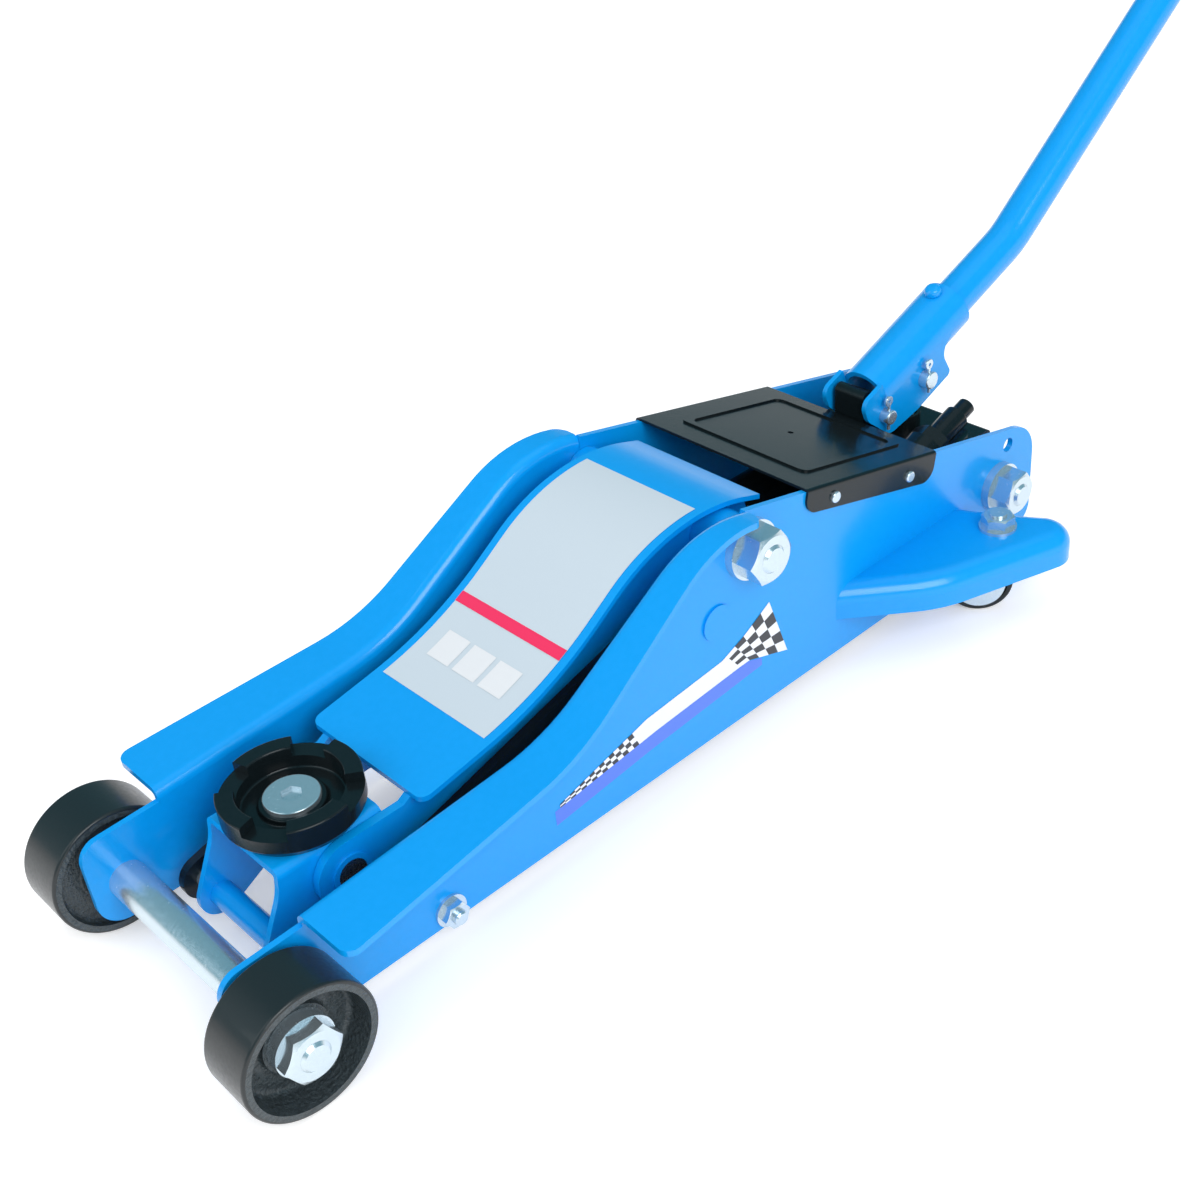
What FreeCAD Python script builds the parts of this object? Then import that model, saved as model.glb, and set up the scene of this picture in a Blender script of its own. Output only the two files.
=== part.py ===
"""Low-profile hydraulic trolley jack, as a parametric FreeCAD document.

Millimetres, +Z up, +X towards the saddle end, +Y to the jack's left.  The origin lies on the
floor under the middle of the whole jack's box.  Distances along the jack are measured aft of
the front axle, and aft() turns them into X.  Pieces on the left are modelled and mirrored.
"""
import FreeCAD, Part

import math
import os
import Sketcher

# The sizes that can be set by themselves, in millimetres unless named otherwise.  "aft" is the
# distance behind the front axle, "height" is above the floor, "across" is out from the middle.
SIZES = {
    # running and seating clearances
    "running_gap": 0.05,
    "side_gap": 0.3,
    # front wheels and axle
    "wheel_radius": 35.8,
    "wheel_inner_across": 68.9,
    "wheel_width": 31.7,
    "wheel_rim": 4.6,
    "wheel_web": 9.0,
    "wheel_recess": 16.6,
    "wheel_hub_radius": 17.5,
    "wheel_hub_width": 20.8,
    "wheel_edge": 1.6,
    "axle_radius": 10.25,
    "journal_radius": 8.0,
    "axle_end_across": 104.4,
    "axle_chamfer": 1.5,
    "wheel_washer_radius": 15.75,
    "wheel_washer_thickness": 2.3,
    "wheel_nut_flats": 27.0,
    "wheel_nut_height": 8.0,
    # side plates
    "plate_inner_across": 61.0,
    "plate_thickness": 3.5,
    "plate_bottom_height": 12.5,
    "nose_reach": 19.2,
    "nose_height": 66.8,
    "nose_top_radius": 12.0,
    "nose_bottom_radius": 16.0,
    "flange_front_aft": 27.0,
    "flange_front_height": 75.4,
    "valley_aft": 174.3,
    "valley_height": 85.1,
    "valley_radius": 110.0,
    "crest_aft": 284.7,
    "crest_over_pivot": 30.8,
    "crest_radius": 75.0,
    "flange_rear_aft": 321.0,
    "rear_slope": 0.2405,
    "plate_rear_aft": 577.0,
    "rear_top_radius": 25.0,
    "rear_bottom_radius": 12.0,
    "flange_bend_radius": 6.0,
    "flange_leg": 11.0,
    "flange_seat": 7.2,
    "flange_front_across": 101.5,
    "flange_rear_across": 78.2,
    "flange_corner_radius": 7.0,
    "boss_aft": 296.0,
    "boss_height": 86.0,
    "boss_radius": 10.5,
    "boss_raise": 1.2,
    "hang_hole_aft": 550.8,
    "hang_hole_drop": 10.4,
    "hang_hole_radius": 4.5,
    # cross bolts through the plates
    "front_tie_aft": 103.5,
    "front_tie_height": 21.0,
    "front_tie_radius": 6.0,
    "front_tie_thread_radius": 4.0,
    "front_tie_nut_flats": 13.0,
    "front_tie_nut_height": 7.0,
    "front_tie_flange_radius": 9.0,
    "front_tie_flange_thickness": 1.6,
    "pivot_aft": 321.5,
    "pivot_height": 120.5,
    "pivot_shaft_radius": 11.0,
    "pivot_thread_radius": 8.0,
    "pivot_washer_radius": 17.0,
    "pivot_nut_flats": 27.0,
    "pivot_nut_height": 13.2,
    "rear_tie_aft": 541.0,
    "rear_tie_height": 53.0,
    "rear_tie_radius": 10.0,
    "rear_tie_thread_radius": 7.0,
    "rear_stud_depth": 24.0,
    "rear_washer_radius": 15.5,
    "rear_nut_flats": 24.0,
    "rear_nut_height": 12.6,
    "frame_washer_thickness": 2.5,
    "thread_stand_out": 1.5,
    # lift arm, in its lowest place
    "arm_pin_aft": 71.3,
    "arm_pin_height": 51.4,
    "arm_pin_radius": 8.0,
    "arm_side_inner_across": 31.5,
    "arm_side_thickness": 5.0,
    "arm_ear_radius": 19.0,
    "arm_ear_corner_radius": 4.5,
    "arm_boss_radius": 11.0,
    "arm_boss_raise": 1.2,
    "arm_pivot_wall": 3.5,
    "horn_aft": 346.0,
    "horn_height": 82.8,
    "horn_pin_radius": 8.0,
    "horn_radius": 14.0,
    "cover_half_width": 46.6,
    "cover_sheet": 3.0,
    "cover_front_aft": 110.7,
    "cover_front_height": 76.0,
    "cover_valley_aft": 193.7,
    "cover_valley_height": 90.4,
    "cover_valley_radius": 205.0,
    "cover_crest_aft": 288.9,
    "cover_crest_over_pivot": 31.8,
    "cover_crest_radius": 110.0,
    "cover_rear_aft": 350.9,
    "cover_rear_over_pivot": 11.2,
    "cover_corner_radius": 6.0,
    # saddle bracket and levelling links
    "bracket_half_width": 31.0,
    "bracket_sheet": 3.5,
    "saddle_screw_clearance": 1.7,
    "bracket_front_aft": 36.6,
    "bracket_rear_aft": 97.0,
    "bracket_top_radius": 5.0,
    "bracket_waist_lead": 1.8,
    "bracket_waist_height": 59.0,
    "bracket_waist_radius": 32.0,
    "bracket_eye_radius": 17.0,
    "bracket_toe_radius": 12.5,
    "link_pin_aft": 31.5,
    "link_pin_height": 25.0,
    "link_pin_radius": 5.0,
    "cross_tube_radius": 6.95,
    "link_inner_across": 43.5,
    "link_thickness": 5.0,
    "link_half_height": 12.2,
    "link_stud_radius": 7.0,
    "stud_head_radius": 10.0,
    "stud_head_thickness": 2.2,
    "link_pin_head_radius": 8.0,
    "link_pin_head_thickness": 2.2,
    # saddle
    "saddle_aft": 68.2,
    "saddle_radius": 36.0,
    "saddle_foot_radius": 33.0,
    "saddle_height": 16.9,
    "saddle_floor": 4.2,
    "lug_inner_radius": 26.5,
    "lug_gap_degrees": 38.0,
    "lug_gap_depth": 5.5,
    "lug_count": 4,
    "saddle_turn_degrees": 10.0,
    "saddle_seat_radius": 17.0,
    "saddle_seat_height": 7.2,
    "saddle_screw_radius": 6.0,
    "saddle_screw_head_radius": 14.45,
    "saddle_screw_head_height": 2.7,
    "saddle_socket_flats": 10.0,
    "saddle_socket_depth": 2.0,
    "saddle_nut_flats": 19.0,
    "saddle_nut_height": 6.0,
    # black cover between the plates
    "lid_front_aft": 368.0,
    "lid_rear_aft": 478.0,
    "lid_sheet": 1.5,
    "lid_front_flap": 12.5,
    "lid_rear_flap": 17.0,
    "lid_corner_radius": 9.0,
    "lid_bend_radius": 2.0,
    "lid_rib_half_width": 48.0,
    "lid_rib_front_inset": 18.0,
    "lid_rib_rear_inset": 9.0,
    "lid_rib_width": 4.5,
    "lid_rib_raise": 1.1,
    "lid_rib_radius": 5.0,
    "lid_hole_radius": 1.8,
    "lid_screw_inset": 23.5,
    "lid_screw_front_drop": 7.0,
    "lid_screw_rear_drop": 9.0,
    "lid_screw_radius": 2.0,
    "lid_screw_head_radius": 3.4,
    "lid_screw_head_height": 1.9,
    "lid_screw_length": 7.0,
    # wing brackets and casters
    "wing_top_height": 55.5,
    "wing_skirt_height": 35.0,
    "wing_sheet": 3.0,
    "wing_bend_radius": 11.0,
    "wing_front_aft": 391.0,
    "wing_elbow_aft": 437.0,
    "wing_elbow_across": 104.0,
    "wing_elbow_radius": 80.0,
    "wing_tail_aft": 554.0,
    "wing_tail_across": 143.0,
    "wing_tail_radius": 16.0,
    "wing_waist_aft": 520.0,
    "wing_waist_across": 87.0,
    "wing_waist_radius": 30.0,
    "wing_rear_aft": 509.5,
    "caster_aft": 500.0,
    "caster_across": 95.0,
    "caster_trail": 9.6,
    "caster_swing": 50.0,
    "caster_room": 14.1,
    "caster_wheel_radius": 19.9,
    "caster_wheel_width": 11.0,
    "caster_tread": 3.0,
    "caster_stem_radius": 5.0,
    "caster_crown_radius": 13.0,
    "caster_crown_thickness": 3.0,
    "caster_cheek": 2.5,
    "caster_cheek_radius": 15.0,
    "caster_rivet_radius": 4.0,
    "caster_rivet_head_radius": 6.0,
    "caster_rivet_head": 2.0,
    "caster_nut_flats": 17.0,
    "caster_nut_height": 7.0,
    "caster_washer_radius": 11.0,
    "caster_washer_thickness": 1.8,
    # pump and ram
    "ram_height": 77.0,
    "ram_radius": 10.0,
    "ram_head_radius": 14.0,
    "ram_head_thickness": 9.0,
    "ram_gap": 0.8,
    "ram_stroke": 49.0,
    "piston_radius": 12.0,
    "piston_length": 16.0,
    "cylinder_wall": 5.0,
    "reservoir_radius": 26.0,
    "reservoir_wall": 2.5,
    "cylinder_cap_aft": 370.0,
    "cylinder_cap_length": 9.0,
    "cylinder_seat": 12.0,
    "block_front_aft": 452.0,
    "block_step_aft": 472.0,
    "block_rear_aft": 557.0,
    "block_half_width": 47.0,
    "block_bottom_height": 18.0,
    "block_top_height": 80.0,
    "block_under_lid": 2.8,
    "block_edge_radius": 4.0,
    "seal_groove": 2.0,
    "seal_width": 5.0,
    # handle socket: along is measured up its axis from above the fulcrum, drop is below the axis
    "socket_aft": 492.5,
    "socket_height": 114.0,
    "socket_rise_degrees": 20.5,
    "socket_radius": 16.6,
    "socket_wall": 3.2,
    "socket_front": 3.0,
    "socket_end": 85.0,
    "ear_front": 15.8,
    "ear_rear": 58.0,
    "ear_top": 13.5,
    "ear_drop": 27.0,
    "ear_heel": 24.0,
    "ear_toe": 3.0,
    "ear_neck": 66.0,
    "fulcrum_aft": 492.0,
    "fulcrum_height": 107.3,
    "fulcrum_pin_radius": 4.5,
    "post_half_width": 10.8,
    "post_front_aft": 479.5,
    "post_rear_aft": 504.0,
    "post_top_height": 124.0,
    "post_top_length": 6.0,
    "post_shoulder_height": 112.0,
    "pump_pin_aft": 529.7,
    "pump_pin_height": 116.1,
    "pump_pin_radius": 5.5,
    "pump_pin_slack": 1.1,
    "plunger_head_radius": 8.5,
    "plunger_radius": 5.5,
    "plunger_bottom_height": 50.0,
    "pump_room": 22.0,
    "pump_barrel_radius": 11.6,
    "pump_barrel_top_height": 89.0,
    "spring_seat_height": 58.0,
    "spring_radius": 7.9,
    "spring_wire_radius": 0.9,
    "spring_turns": 6.5,
    "pin_head_radius": 7.0,
    "pin_head_thickness": 2.0,
    "pin_tail": 6.5,
    "split_pin_radius": 1.1,
    "split_pin_length": 17.0,
    "thumb_along": 76.6,
    "thumb_radius": 3.0,
    "thumb_head_radius": 5.2,
    "thumb_head_height": 4.6,
    # handle
    "handle_radius": 12.25,
    "handle_wall": 2.0,
    "handle_bend_along": 147.7,
    "handle_rise_degrees": 35.7,
    "handle_bend_radius": 60.0,
    "handle_lower_length": 440.0,
    "handle_upper_length": 340.0,
    "handle_plug_length": 60.0,
    "grip_length": 130.0,
    "grip_wall": 3.0,
    # release valve
    "valve_aft": 517.6,
    "valve_height": 85.0,
    "valve_across": 35.0,
    "valve_rise_degrees": 18.5,
    "valve_body_radius": 7.75,
    "valve_body_length": 22.5,
    "valve_tip_radius": 5.5,
    "valve_tip_length": 10.2,
    "valve_stem_radius": 5.0,
    "valve_stem_length": 36.0,
    "gland_flats": 24.0,
    "gland_length": 9.0,
    "valve_boss_radius": 14.0,
}

# How far a cutting outline runs past what it cuts.
TRIM = 5.0
WHEEL_WASHERS = 3
FRAME_WASHERS = 2

document = FreeCAD.newDocument("trolley_jack")
sheet = document.addObject("Spreadsheet::Sheet", "sizes")
for row, (alias, value) in enumerate(SIZES.items(), start=1):
    sheet.set("A%d" % row, alias)
    sheet.set("B%d" % row, str(value))
    sheet.setAlias("B%d" % row, alias)
document.recompute()


class Size:
    """A number and the sheet expression that gives it, so arithmetic keeps both in step."""

    def __init__(self, number, text):
        self.number = float(number)
        self.text = text

    def __add__(self, other):
        other = as_size(other)
        return Size(self.number + other.number, "(%s + %s)" % (self.text, other.text))

    def __radd__(self, other):
        return as_size(other) + self

    def __sub__(self, other):
        other = as_size(other)
        return Size(self.number - other.number, "(%s - %s)" % (self.text, other.text))

    def __rsub__(self, other):
        return as_size(other) - self

    def __mul__(self, other):
        other = as_size(other)
        return Size(self.number * other.number, "(%s * %s)" % (self.text, other.text))

    def __rmul__(self, other):
        return as_size(other) * self

    def __truediv__(self, other):
        other = as_size(other)
        return Size(self.number / other.number, "(%s / %s)" % (self.text, other.text))

    def __rtruediv__(self, other):
        return as_size(other) / self

    def __neg__(self):
        return 0 - self


def as_size(value):
    """A Size as it is, or a plain number made into one."""
    if isinstance(value, Size):
        return value
    return Size(value, repr(float(value)))


def size(alias):
    """The named size in the sheet."""
    return Size(SIZES[alias], "sizes." + alias)


def arc_tangent(slope):
    return Size(math.degrees(math.atan(slope.number)), "atan(%s)" % slope.text)


def sine(degrees):
    degrees = as_size(degrees)
    return Size(math.sin(math.radians(degrees.number)), "sin(%s)" % degrees.text)


def cosine(degrees):
    degrees = as_size(degrees)
    return Size(math.cos(math.radians(degrees.number)), "cos(%s)" % degrees.text)


def root(square):
    return Size(math.sqrt(square.number), "sqrt(%s)" % square.text)


def bind(item, path, value):
    """Ties one property of an object to the sheet."""
    item.setExpression(path, as_size(value).text)


def place(item, x=0, y=0, z=0, axis=None, degrees=0):
    """Places an object at a bound position, turned about an axis."""
    turn = FreeCAD.Rotation()
    if axis is not None:
        turn = FreeCAD.Rotation(FreeCAD.Vector(*axis), as_size(degrees).number)
    item.Placement = FreeCAD.Placement(FreeCAD.Vector(), turn)
    bind(item, "Placement.Base.x", x)
    bind(item, "Placement.Base.y", y)
    bind(item, "Placement.Base.z", z)
    if isinstance(degrees, Size):
        bind(item, "Placement.Rotation.Angle", degrees)
    return item


# ---- sketches ------------------------------------------------------------------------------

def new_body(label):
    body = document.addObject("PartDesign::Body", label)
    body.Label = label
    return body


def new_sketch(body, plane, offset=0):
    """An empty sketch on one of the body's own origin planes, moved along its normal."""
    sketch = body.newObject("Sketcher::SketchObject", body.Name + "_sketch")
    roles = {item.Role: item for item in body.Origin.OriginFeatures}
    sketch.AttachmentSupport = (roles[plane], [""])
    sketch.MapMode = "FlatFace"
    bind(sketch, "AttachmentOffset.Base.z", offset)
    return sketch


def side_sketch(body, y=0):
    """A sketch seen from the side: its axes are X and Z, and it lies at the given Y."""
    return new_sketch(body, "XZ_Plane", -as_size(y))


def lock(sketch, constraint, value):
    """Adds a dimension to a sketch and ties it to the sheet."""
    index = sketch.addConstraint(constraint)
    bind(sketch, "Constraints[%d]" % index, value)


def lock_point(sketch, geometry, position, x, y):
    lock(sketch, Sketcher.Constraint("DistanceX", geometry, position, as_size(x).number), x)
    lock(sketch, Sketcher.Constraint("DistanceY", geometry, position, as_size(y).number), y)


class Corner:
    """A corner of an outline, sharp or rounded off with a radius."""

    def __init__(self, x, y, radius=None):
        self.x = as_size(x)
        self.y = as_size(y)
        self.radius = as_size(radius) if radius is not None else None
        self.reach = 0.0


class Round:
    """A stretch of an outline that runs round a centre, outwards or, if hollow, inwards."""

    def __init__(self, x, y, radius, hollow=False):
        self.x = as_size(x)
        self.y = as_size(y)
        self.radius = as_size(radius)
        self.reach = -self.radius.number if hollow else self.radius.number


def straight_between(first, second, side):
    """The ends of the line that leaves one corner or round and meets the next."""
    run_x = second.x.number - first.x.number
    run_y = second.y.number - first.y.number
    length = math.hypot(run_x, run_y)
    tilt = math.asin((first.reach - second.reach) * side / length)
    heading = math.atan2(run_y, run_x) + tilt * side * side
    normal = (math.sin(heading) * side, -math.cos(heading) * side)
    return [(item.x.number + item.reach * normal[0], item.y.number + item.reach * normal[1])
            for item in (first, second)]


def round_off(item, before, after):
    """Shortens the two lines that meet at a corner, to make room for its arc."""
    into = math.atan2(before[1][1] - before[0][1], before[1][0] - before[0][0])
    out = math.atan2(after[1][1] - after[0][1], after[1][0] - after[0][0])
    half_turn = abs(math.remainder(out - into, 2 * math.pi)) / 2
    cut = item.radius.number * math.tan(half_turn)
    before[1] = (item.x.number - cut * math.cos(into), item.y.number - cut * math.sin(into))
    after[0] = (item.x.number + cut * math.cos(out), item.y.number + cut * math.sin(out))


def draw_outline(sketch, corners):
    """Draws a closed outline of straight lines and tangent arcs, with every point locked."""
    count = len(corners)
    area = sum(corners[i - 1].x.number * corners[i].y.number
               - corners[i].x.number * corners[i - 1].y.number for i in range(count))
    side = 1.0 if area > 0 else -1.0
    ends = [straight_between(corners[i], corners[(i + 1) % count], side) for i in range(count)]
    for i, item in enumerate(corners):
        if isinstance(item, Corner) and item.radius is not None:
            round_off(item, ends[i - 1], ends[i])
    first = [sketch.addGeometry(Part.LineSegment(FreeCAD.Vector(*line[0], 0), FreeCAD.Vector(*line[1], 0)))
             for line in ends][0]
    for i, item in enumerate(corners):
        before, after = first + (i - 1) % count, first + i
        start, end = ends[i - 1][1], ends[i][0]
        if item.radius is None:
            sketch.addConstraint(Sketcher.Constraint("Coincident", before, 2, after, 1))
            lock_point(sketch, after, 1, item.x, item.y)
            continue
        draw_bend(sketch, item, before, after, start, end)


def draw_bend(sketch, item, before, after, start, end):
    """Joins two lines of an outline with the arc of a rounded corner or a round."""
    radius = item.radius.number
    into = (start[0] - sketch.Geometry[before].StartPoint.x,
            start[1] - sketch.Geometry[before].StartPoint.y)
    chord = (end[0] - start[0], end[1] - start[1])
    left = 1.0 if into[0] * chord[1] - into[1] * chord[0] > 0 else -1.0
    length = math.hypot(*into)
    centre = (start[0] - left * radius * into[1] / length, start[1] + left * radius * into[0] / length)
    circle = Part.Circle(FreeCAD.Vector(*centre, 0), FreeCAD.Vector(0, 0, 1), radius)
    angles = [math.atan2(point[1] - centre[1], point[0] - centre[0]) for point in (start, end)]
    if left < 0:
        angles.reverse()
    arc = sketch.addGeometry(Part.ArcOfCircle(circle, *angles))
    from_line, to_line = (1, 2) if left > 0 else (2, 1)
    sketch.addConstraint(Sketcher.Constraint("Tangent", before, 2, arc, from_line))
    sketch.addConstraint(Sketcher.Constraint("Tangent", after, 1, arc, to_line))
    lock(sketch, Sketcher.Constraint("Radius", arc, radius), item.radius)
    if isinstance(item, Round):
        lock_point(sketch, arc, 3, item.x, item.y)
        return
    point = sketch.addGeometry(Part.Point(FreeCAD.Vector(item.x.number, item.y.number, 0)), True)
    lock_point(sketch, point, 1, item.x, item.y)
    sketch.addConstraint(Sketcher.Constraint("PointOnObject", point, 1, before))
    sketch.addConstraint(Sketcher.Constraint("PointOnObject", point, 1, after))


def draw_circle(sketch, x, y, radius):
    centre = FreeCAD.Vector(as_size(x).number, as_size(y).number, 0)
    circle = sketch.addGeometry(Part.Circle(centre, FreeCAD.Vector(0, 0, 1), as_size(radius).number))
    lock_point(sketch, circle, 3, x, y)
    lock(sketch, Sketcher.Constraint("Radius", circle, as_size(radius).number), radius)


def draw_route(sketch, corners):
    """Draws an open route: straight runs joined by tangent arcs at its inner corners."""
    points = [(item.x.number, item.y.number) for item in corners]
    first = None
    ends = [[points[i], points[i + 1]] for i in range(len(points) - 1)]
    for i in range(1, len(corners) - 1):
        round_off(corners[i], ends[i - 1], ends[i])
    for line in ends:
        index = sketch.addGeometry(Part.LineSegment(FreeCAD.Vector(*line[0], 0),
                                                    FreeCAD.Vector(*line[1], 0)))
        first = index if first is None else first
    lock_point(sketch, first, 1, corners[0].x, corners[0].y)
    for i in range(1, len(corners) - 1):
        draw_bend(sketch, corners[i], first + i - 1, first + i, ends[i - 1][1], ends[i][0])
    lock_point(sketch, first + len(ends) - 1, 2, corners[-1].x, corners[-1].y)


# ---- features ------------------------------------------------------------------------------

def fill_sketch(sketch, corners, holes):
    if corners:
        draw_outline(sketch, corners)
    for hole in holes:
        draw_circle(sketch, *hole)


def pad(body, sketch, length):
    """Grows a sketch along its normal."""
    feature = body.newObject("PartDesign::Pad", body.Name + "_pad")
    feature.Profile = sketch
    bind(feature, "Length", length)
    return feature


def pocket(body, sketch, depth):
    """Cuts a sketch against its normal."""
    feature = body.newObject("PartDesign::Pocket", body.Name + "_pocket")
    feature.Profile = sketch
    bind(feature, "Length", depth)
    return feature


def side_pad(body, corners, low, high, holes=()):
    """Material between two values of Y, with an outline in X and Z."""
    sketch = side_sketch(body, high)
    fill_sketch(sketch, corners, holes)
    return pad(body, sketch, as_size(high) - low)


def side_pocket(body, corners, low, high, holes=()):
    sketch = side_sketch(body, low)
    fill_sketch(sketch, corners, holes)
    return pocket(body, sketch, as_size(high) - low)


def plan_pad(body, corners, low, high, holes=()):
    """Material between two values of Z, with an outline in X and Y."""
    sketch = new_sketch(body, "XY_Plane", low)
    fill_sketch(sketch, corners, holes)
    return pad(body, sketch, as_size(high) - low)


def plan_pocket(body, corners, low, high, holes=()):
    sketch = new_sketch(body, "XY_Plane", high)
    fill_sketch(sketch, corners, holes)
    return pocket(body, sketch, as_size(high) - low)


def cross_pad(body, corners, low, high, holes=()):
    """Material between two values of X, with an outline in Y and Z."""
    sketch = new_sketch(body, "YZ_Plane", low)
    fill_sketch(sketch, corners, holes)
    return pad(body, sketch, as_size(high) - low)


def cross_pocket(body, corners, low, high, holes=()):
    sketch = new_sketch(body, "YZ_Plane", high)
    fill_sketch(sketch, corners, holes)
    return pocket(body, sketch, as_size(high) - low)


def turned(label, profile, along="y"):
    """A body of revolution.  The profile's corners are (radius, distance along the axis)."""
    body = new_body(label)
    sketch = new_sketch(body, "XZ_Plane" if along == "z" else "XY_Plane")
    corners = [Corner(*item) for item in profile]
    if along == "x":
        for item in corners:
            item.x, item.y = item.y, item.x
    draw_outline(sketch, corners)
    feature = body.newObject("PartDesign::Revolution", body.Name + "_turn")
    feature.Profile = sketch
    feature.ReferenceAxis = (sketch, ["H_Axis" if along == "x" else "V_Axis"])
    return body


def round_edges(body, radius, wanted):
    """Rounds every edge of the body so far that the test picks by its ends and middle."""
    document.recompute()
    last = body.Tip
    names = []
    for index, edge in enumerate(last.Shape.Edges, start=1):
        middle = edge.valueAt((edge.FirstParameter + edge.LastParameter) / 2)
        if wanted(edge, middle):
            names.append("Edge%d" % index)
    feature = body.newObject("PartDesign::Fillet", body.Name + "_round")
    feature.Base = (last, names)
    bind(feature, "Radius", radius)
    return feature


def near(value, target):
    return abs(value - as_size(target).number) < 0.01


def block(x_low, x_high, y_low, y_high):
    """The four corners of a rectangle in a sketch."""
    return [Corner(x_low, y_low), Corner(x_high, y_low), Corner(x_high, y_high), Corner(x_low, y_high)]


# ---- plain parts ---------------------------------------------------------------------------

ALONG_Y = ((1, 0, 0), -90)


def cylinder(label, radius, length):
    item = document.addObject("Part::Cylinder", label)
    bind(item, "Radius", radius)
    bind(item, "Height", length)
    return item


def cut(label, base, tool):
    item = document.addObject("Part::Cut", label)
    item.Base = base
    item.Tool = tool
    return item


def ring(label, inner, outer, thickness):
    """A washer, lying on its face."""
    return cut(label, cylinder(label + "_disc", outer, thickness), cylinder(label + "_hole", inner,
                                                                            thickness))


def hexagon(label, flats, height):
    item = document.addObject("Part::Prism", label)
    item.Polygon = 6
    bind(item, "Circumradius", as_size(flats) / math.sqrt(3))
    bind(item, "Height", height)
    return item


def hex_nut(label, flats, height, bore):
    """A hexagon nut on its face, with the corners of its top turned off at 30 degrees."""
    prism = hexagon(label + "_hexagon", flats, height)
    cone = document.addObject("Part::Cone", label + "_cone")
    bind(cone, "Radius1", as_size(flats) * 0.475 + as_size(height) * math.sqrt(3))
    bind(cone, "Radius2", as_size(flats) * 0.475)
    bind(cone, "Height", height)
    blank = document.addObject("Part::Common", label + "_blank")
    blank.Base = prism
    blank.Tool = cone
    return cut(label, blank, cylinder(label + "_bore", bore, height))


def mirrored(source, label):
    """The right-hand copy of a left-hand piece."""
    item = document.addObject("Part::Mirroring", label)
    item.Source = source
    item.Normal = (0, 1, 0)
    return item


def grouped(label, items):
    """Like fasteners, kept in one node as separate solids."""
    item = document.addObject("Part::Compound", label)
    item.Links = items
    return item


def pair(label, left):
    """A group of a left-hand piece and its mirror image."""
    return grouped(label, [left, mirrored(left, label + "_right")])


NODES = []


def node(label, item):
    """Names a finished piece and lists it for export."""
    item.Label = label
    NODES.append(item)
    return item


def both_sides(label, left):
    """Lists a left-hand piece and its right-hand copy."""
    node(label + "_left", left)
    node(label + "_right", mirrored(left, label + "_right"))


def fused(label, items):
    item = document.addObject("Part::MultiFuse", label)
    item.Shapes = items
    return item


def sweep(body, section, route):
    """Carries a section along a route of lines and arcs."""
    feature = body.newObject("PartDesign::AdditivePipe", body.Name + "_sweep")
    feature.Profile = section
    feature.Spine = (route, [])
    return feature


def hollow(body, wall, wanted):
    """Hollows the body so far to a wall, open at the faces that the test picks."""
    document.recompute()
    last = body.Tip
    names = ["Face%d" % index for index, face in enumerate(last.Shape.Faces, start=1) if wanted(face)]
    feature = body.newObject("PartDesign::Thickness", body.Name + "_shell")
    feature.Base = (last, names)
    feature.Reversed = True
    bind(feature, "Value", wall)
    return feature


# ---- places worked out from the sizes ------------------------------------------------------

places = document.addObject("Spreadsheet::Sheet", "places")


def derived(alias, value):
    """Keeps a worked-out value in a cell of its own, so the expressions stay short."""
    row = len(places.getUsedCells()) // 2 + 1
    places.set("A%d" % row, alias)
    places.set("B%d" % row, "=" + value.text)
    places.setAlias("B%d" % row, alias)
    document.recompute()
    return Size(value.number, "places." + alias)


gap = size("running_gap")
plate_inner = size("plate_inner_across")
plate_outer = derived("plate_outer_across", plate_inner + size("plate_thickness"))
wheel_radius = size("wheel_radius")

rise = size("socket_rise_degrees")
rise_cosine = derived("rise_cosine", cosine(rise))
rise_sine = derived("rise_sine", sine(rise))
socket_bore = derived("socket_bore", size("socket_radius") - size("socket_wall"))
crest_height = derived("crest_height", size("pivot_height") + size("crest_over_pivot"))
cover_crest_height = derived("cover_crest_height", size("pivot_height") + size("cover_crest_over_pivot"))
cover_rear_height = derived("cover_rear_height", size("pivot_height") + size("cover_rear_over_pivot"))
bracket_top_height = derived("bracket_top_height", size("arm_pin_height") + size("arm_pin_radius")
                             + size("saddle_screw_clearance") + size("thread_stand_out")
                             + size("saddle_nut_height") + size("bracket_sheet"))
pin_run = size("pump_pin_aft") - size("socket_aft")
pin_lift = size("pump_pin_height") - size("socket_height")
handle_stop = derived("handle_stop", pin_run * rise_cosine + pin_lift * rise_sine
                      + size("plunger_head_radius") + size("pump_pin_slack") + size("side_gap"))
handle_drop = derived("handle_drop", socket_bore - size("handle_radius") - gap * 2)
bend_aft = derived("bend_aft", size("socket_aft") + size("handle_bend_along") * rise_cosine
                   + handle_drop * rise_sine)
bend_height = derived("bend_height", size("socket_height") + size("handle_bend_along") * rise_sine
                      - handle_drop * rise_cosine)
handle_end = derived("handle_end_along", size("handle_lower_length") + size("handle_upper_length"))
grip_radius = derived("grip_radius", size("handle_radius") + gap + size("grip_wall"))
grip_end_round = size("grip_wall") / 2
handle_rise = size("handle_rise_degrees")
handle_reach = derived("handle_reach", bend_aft
                       + (handle_end + size("grip_wall") - grip_end_round) * cosine(handle_rise)
                       + (grip_radius - grip_end_round) * sine(handle_rise) + grip_end_round)
front_axle_x = derived("front_axle_x", (handle_reach - wheel_radius) / 2)

link_rear_aft = derived("link_rear_aft", size("pivot_aft") + size("link_pin_aft") - size("arm_pin_aft"))
link_rear_height = derived("link_rear_height", size("pivot_height") + size("link_pin_height")
                           - size("arm_pin_height"))
link_outer = derived("link_outer_across", size("link_inner_across") + size("link_thickness"))

rear_slope = size("rear_slope")
slope_secant = derived("slope_secant", root(rear_slope * rear_slope + 1))


def aft(distance):
    """The X of a place behind the front axle."""
    return front_axle_x - distance


link_pin_x = aft(size("link_pin_aft"))
saddle_x = aft(size("saddle_aft"))


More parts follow.
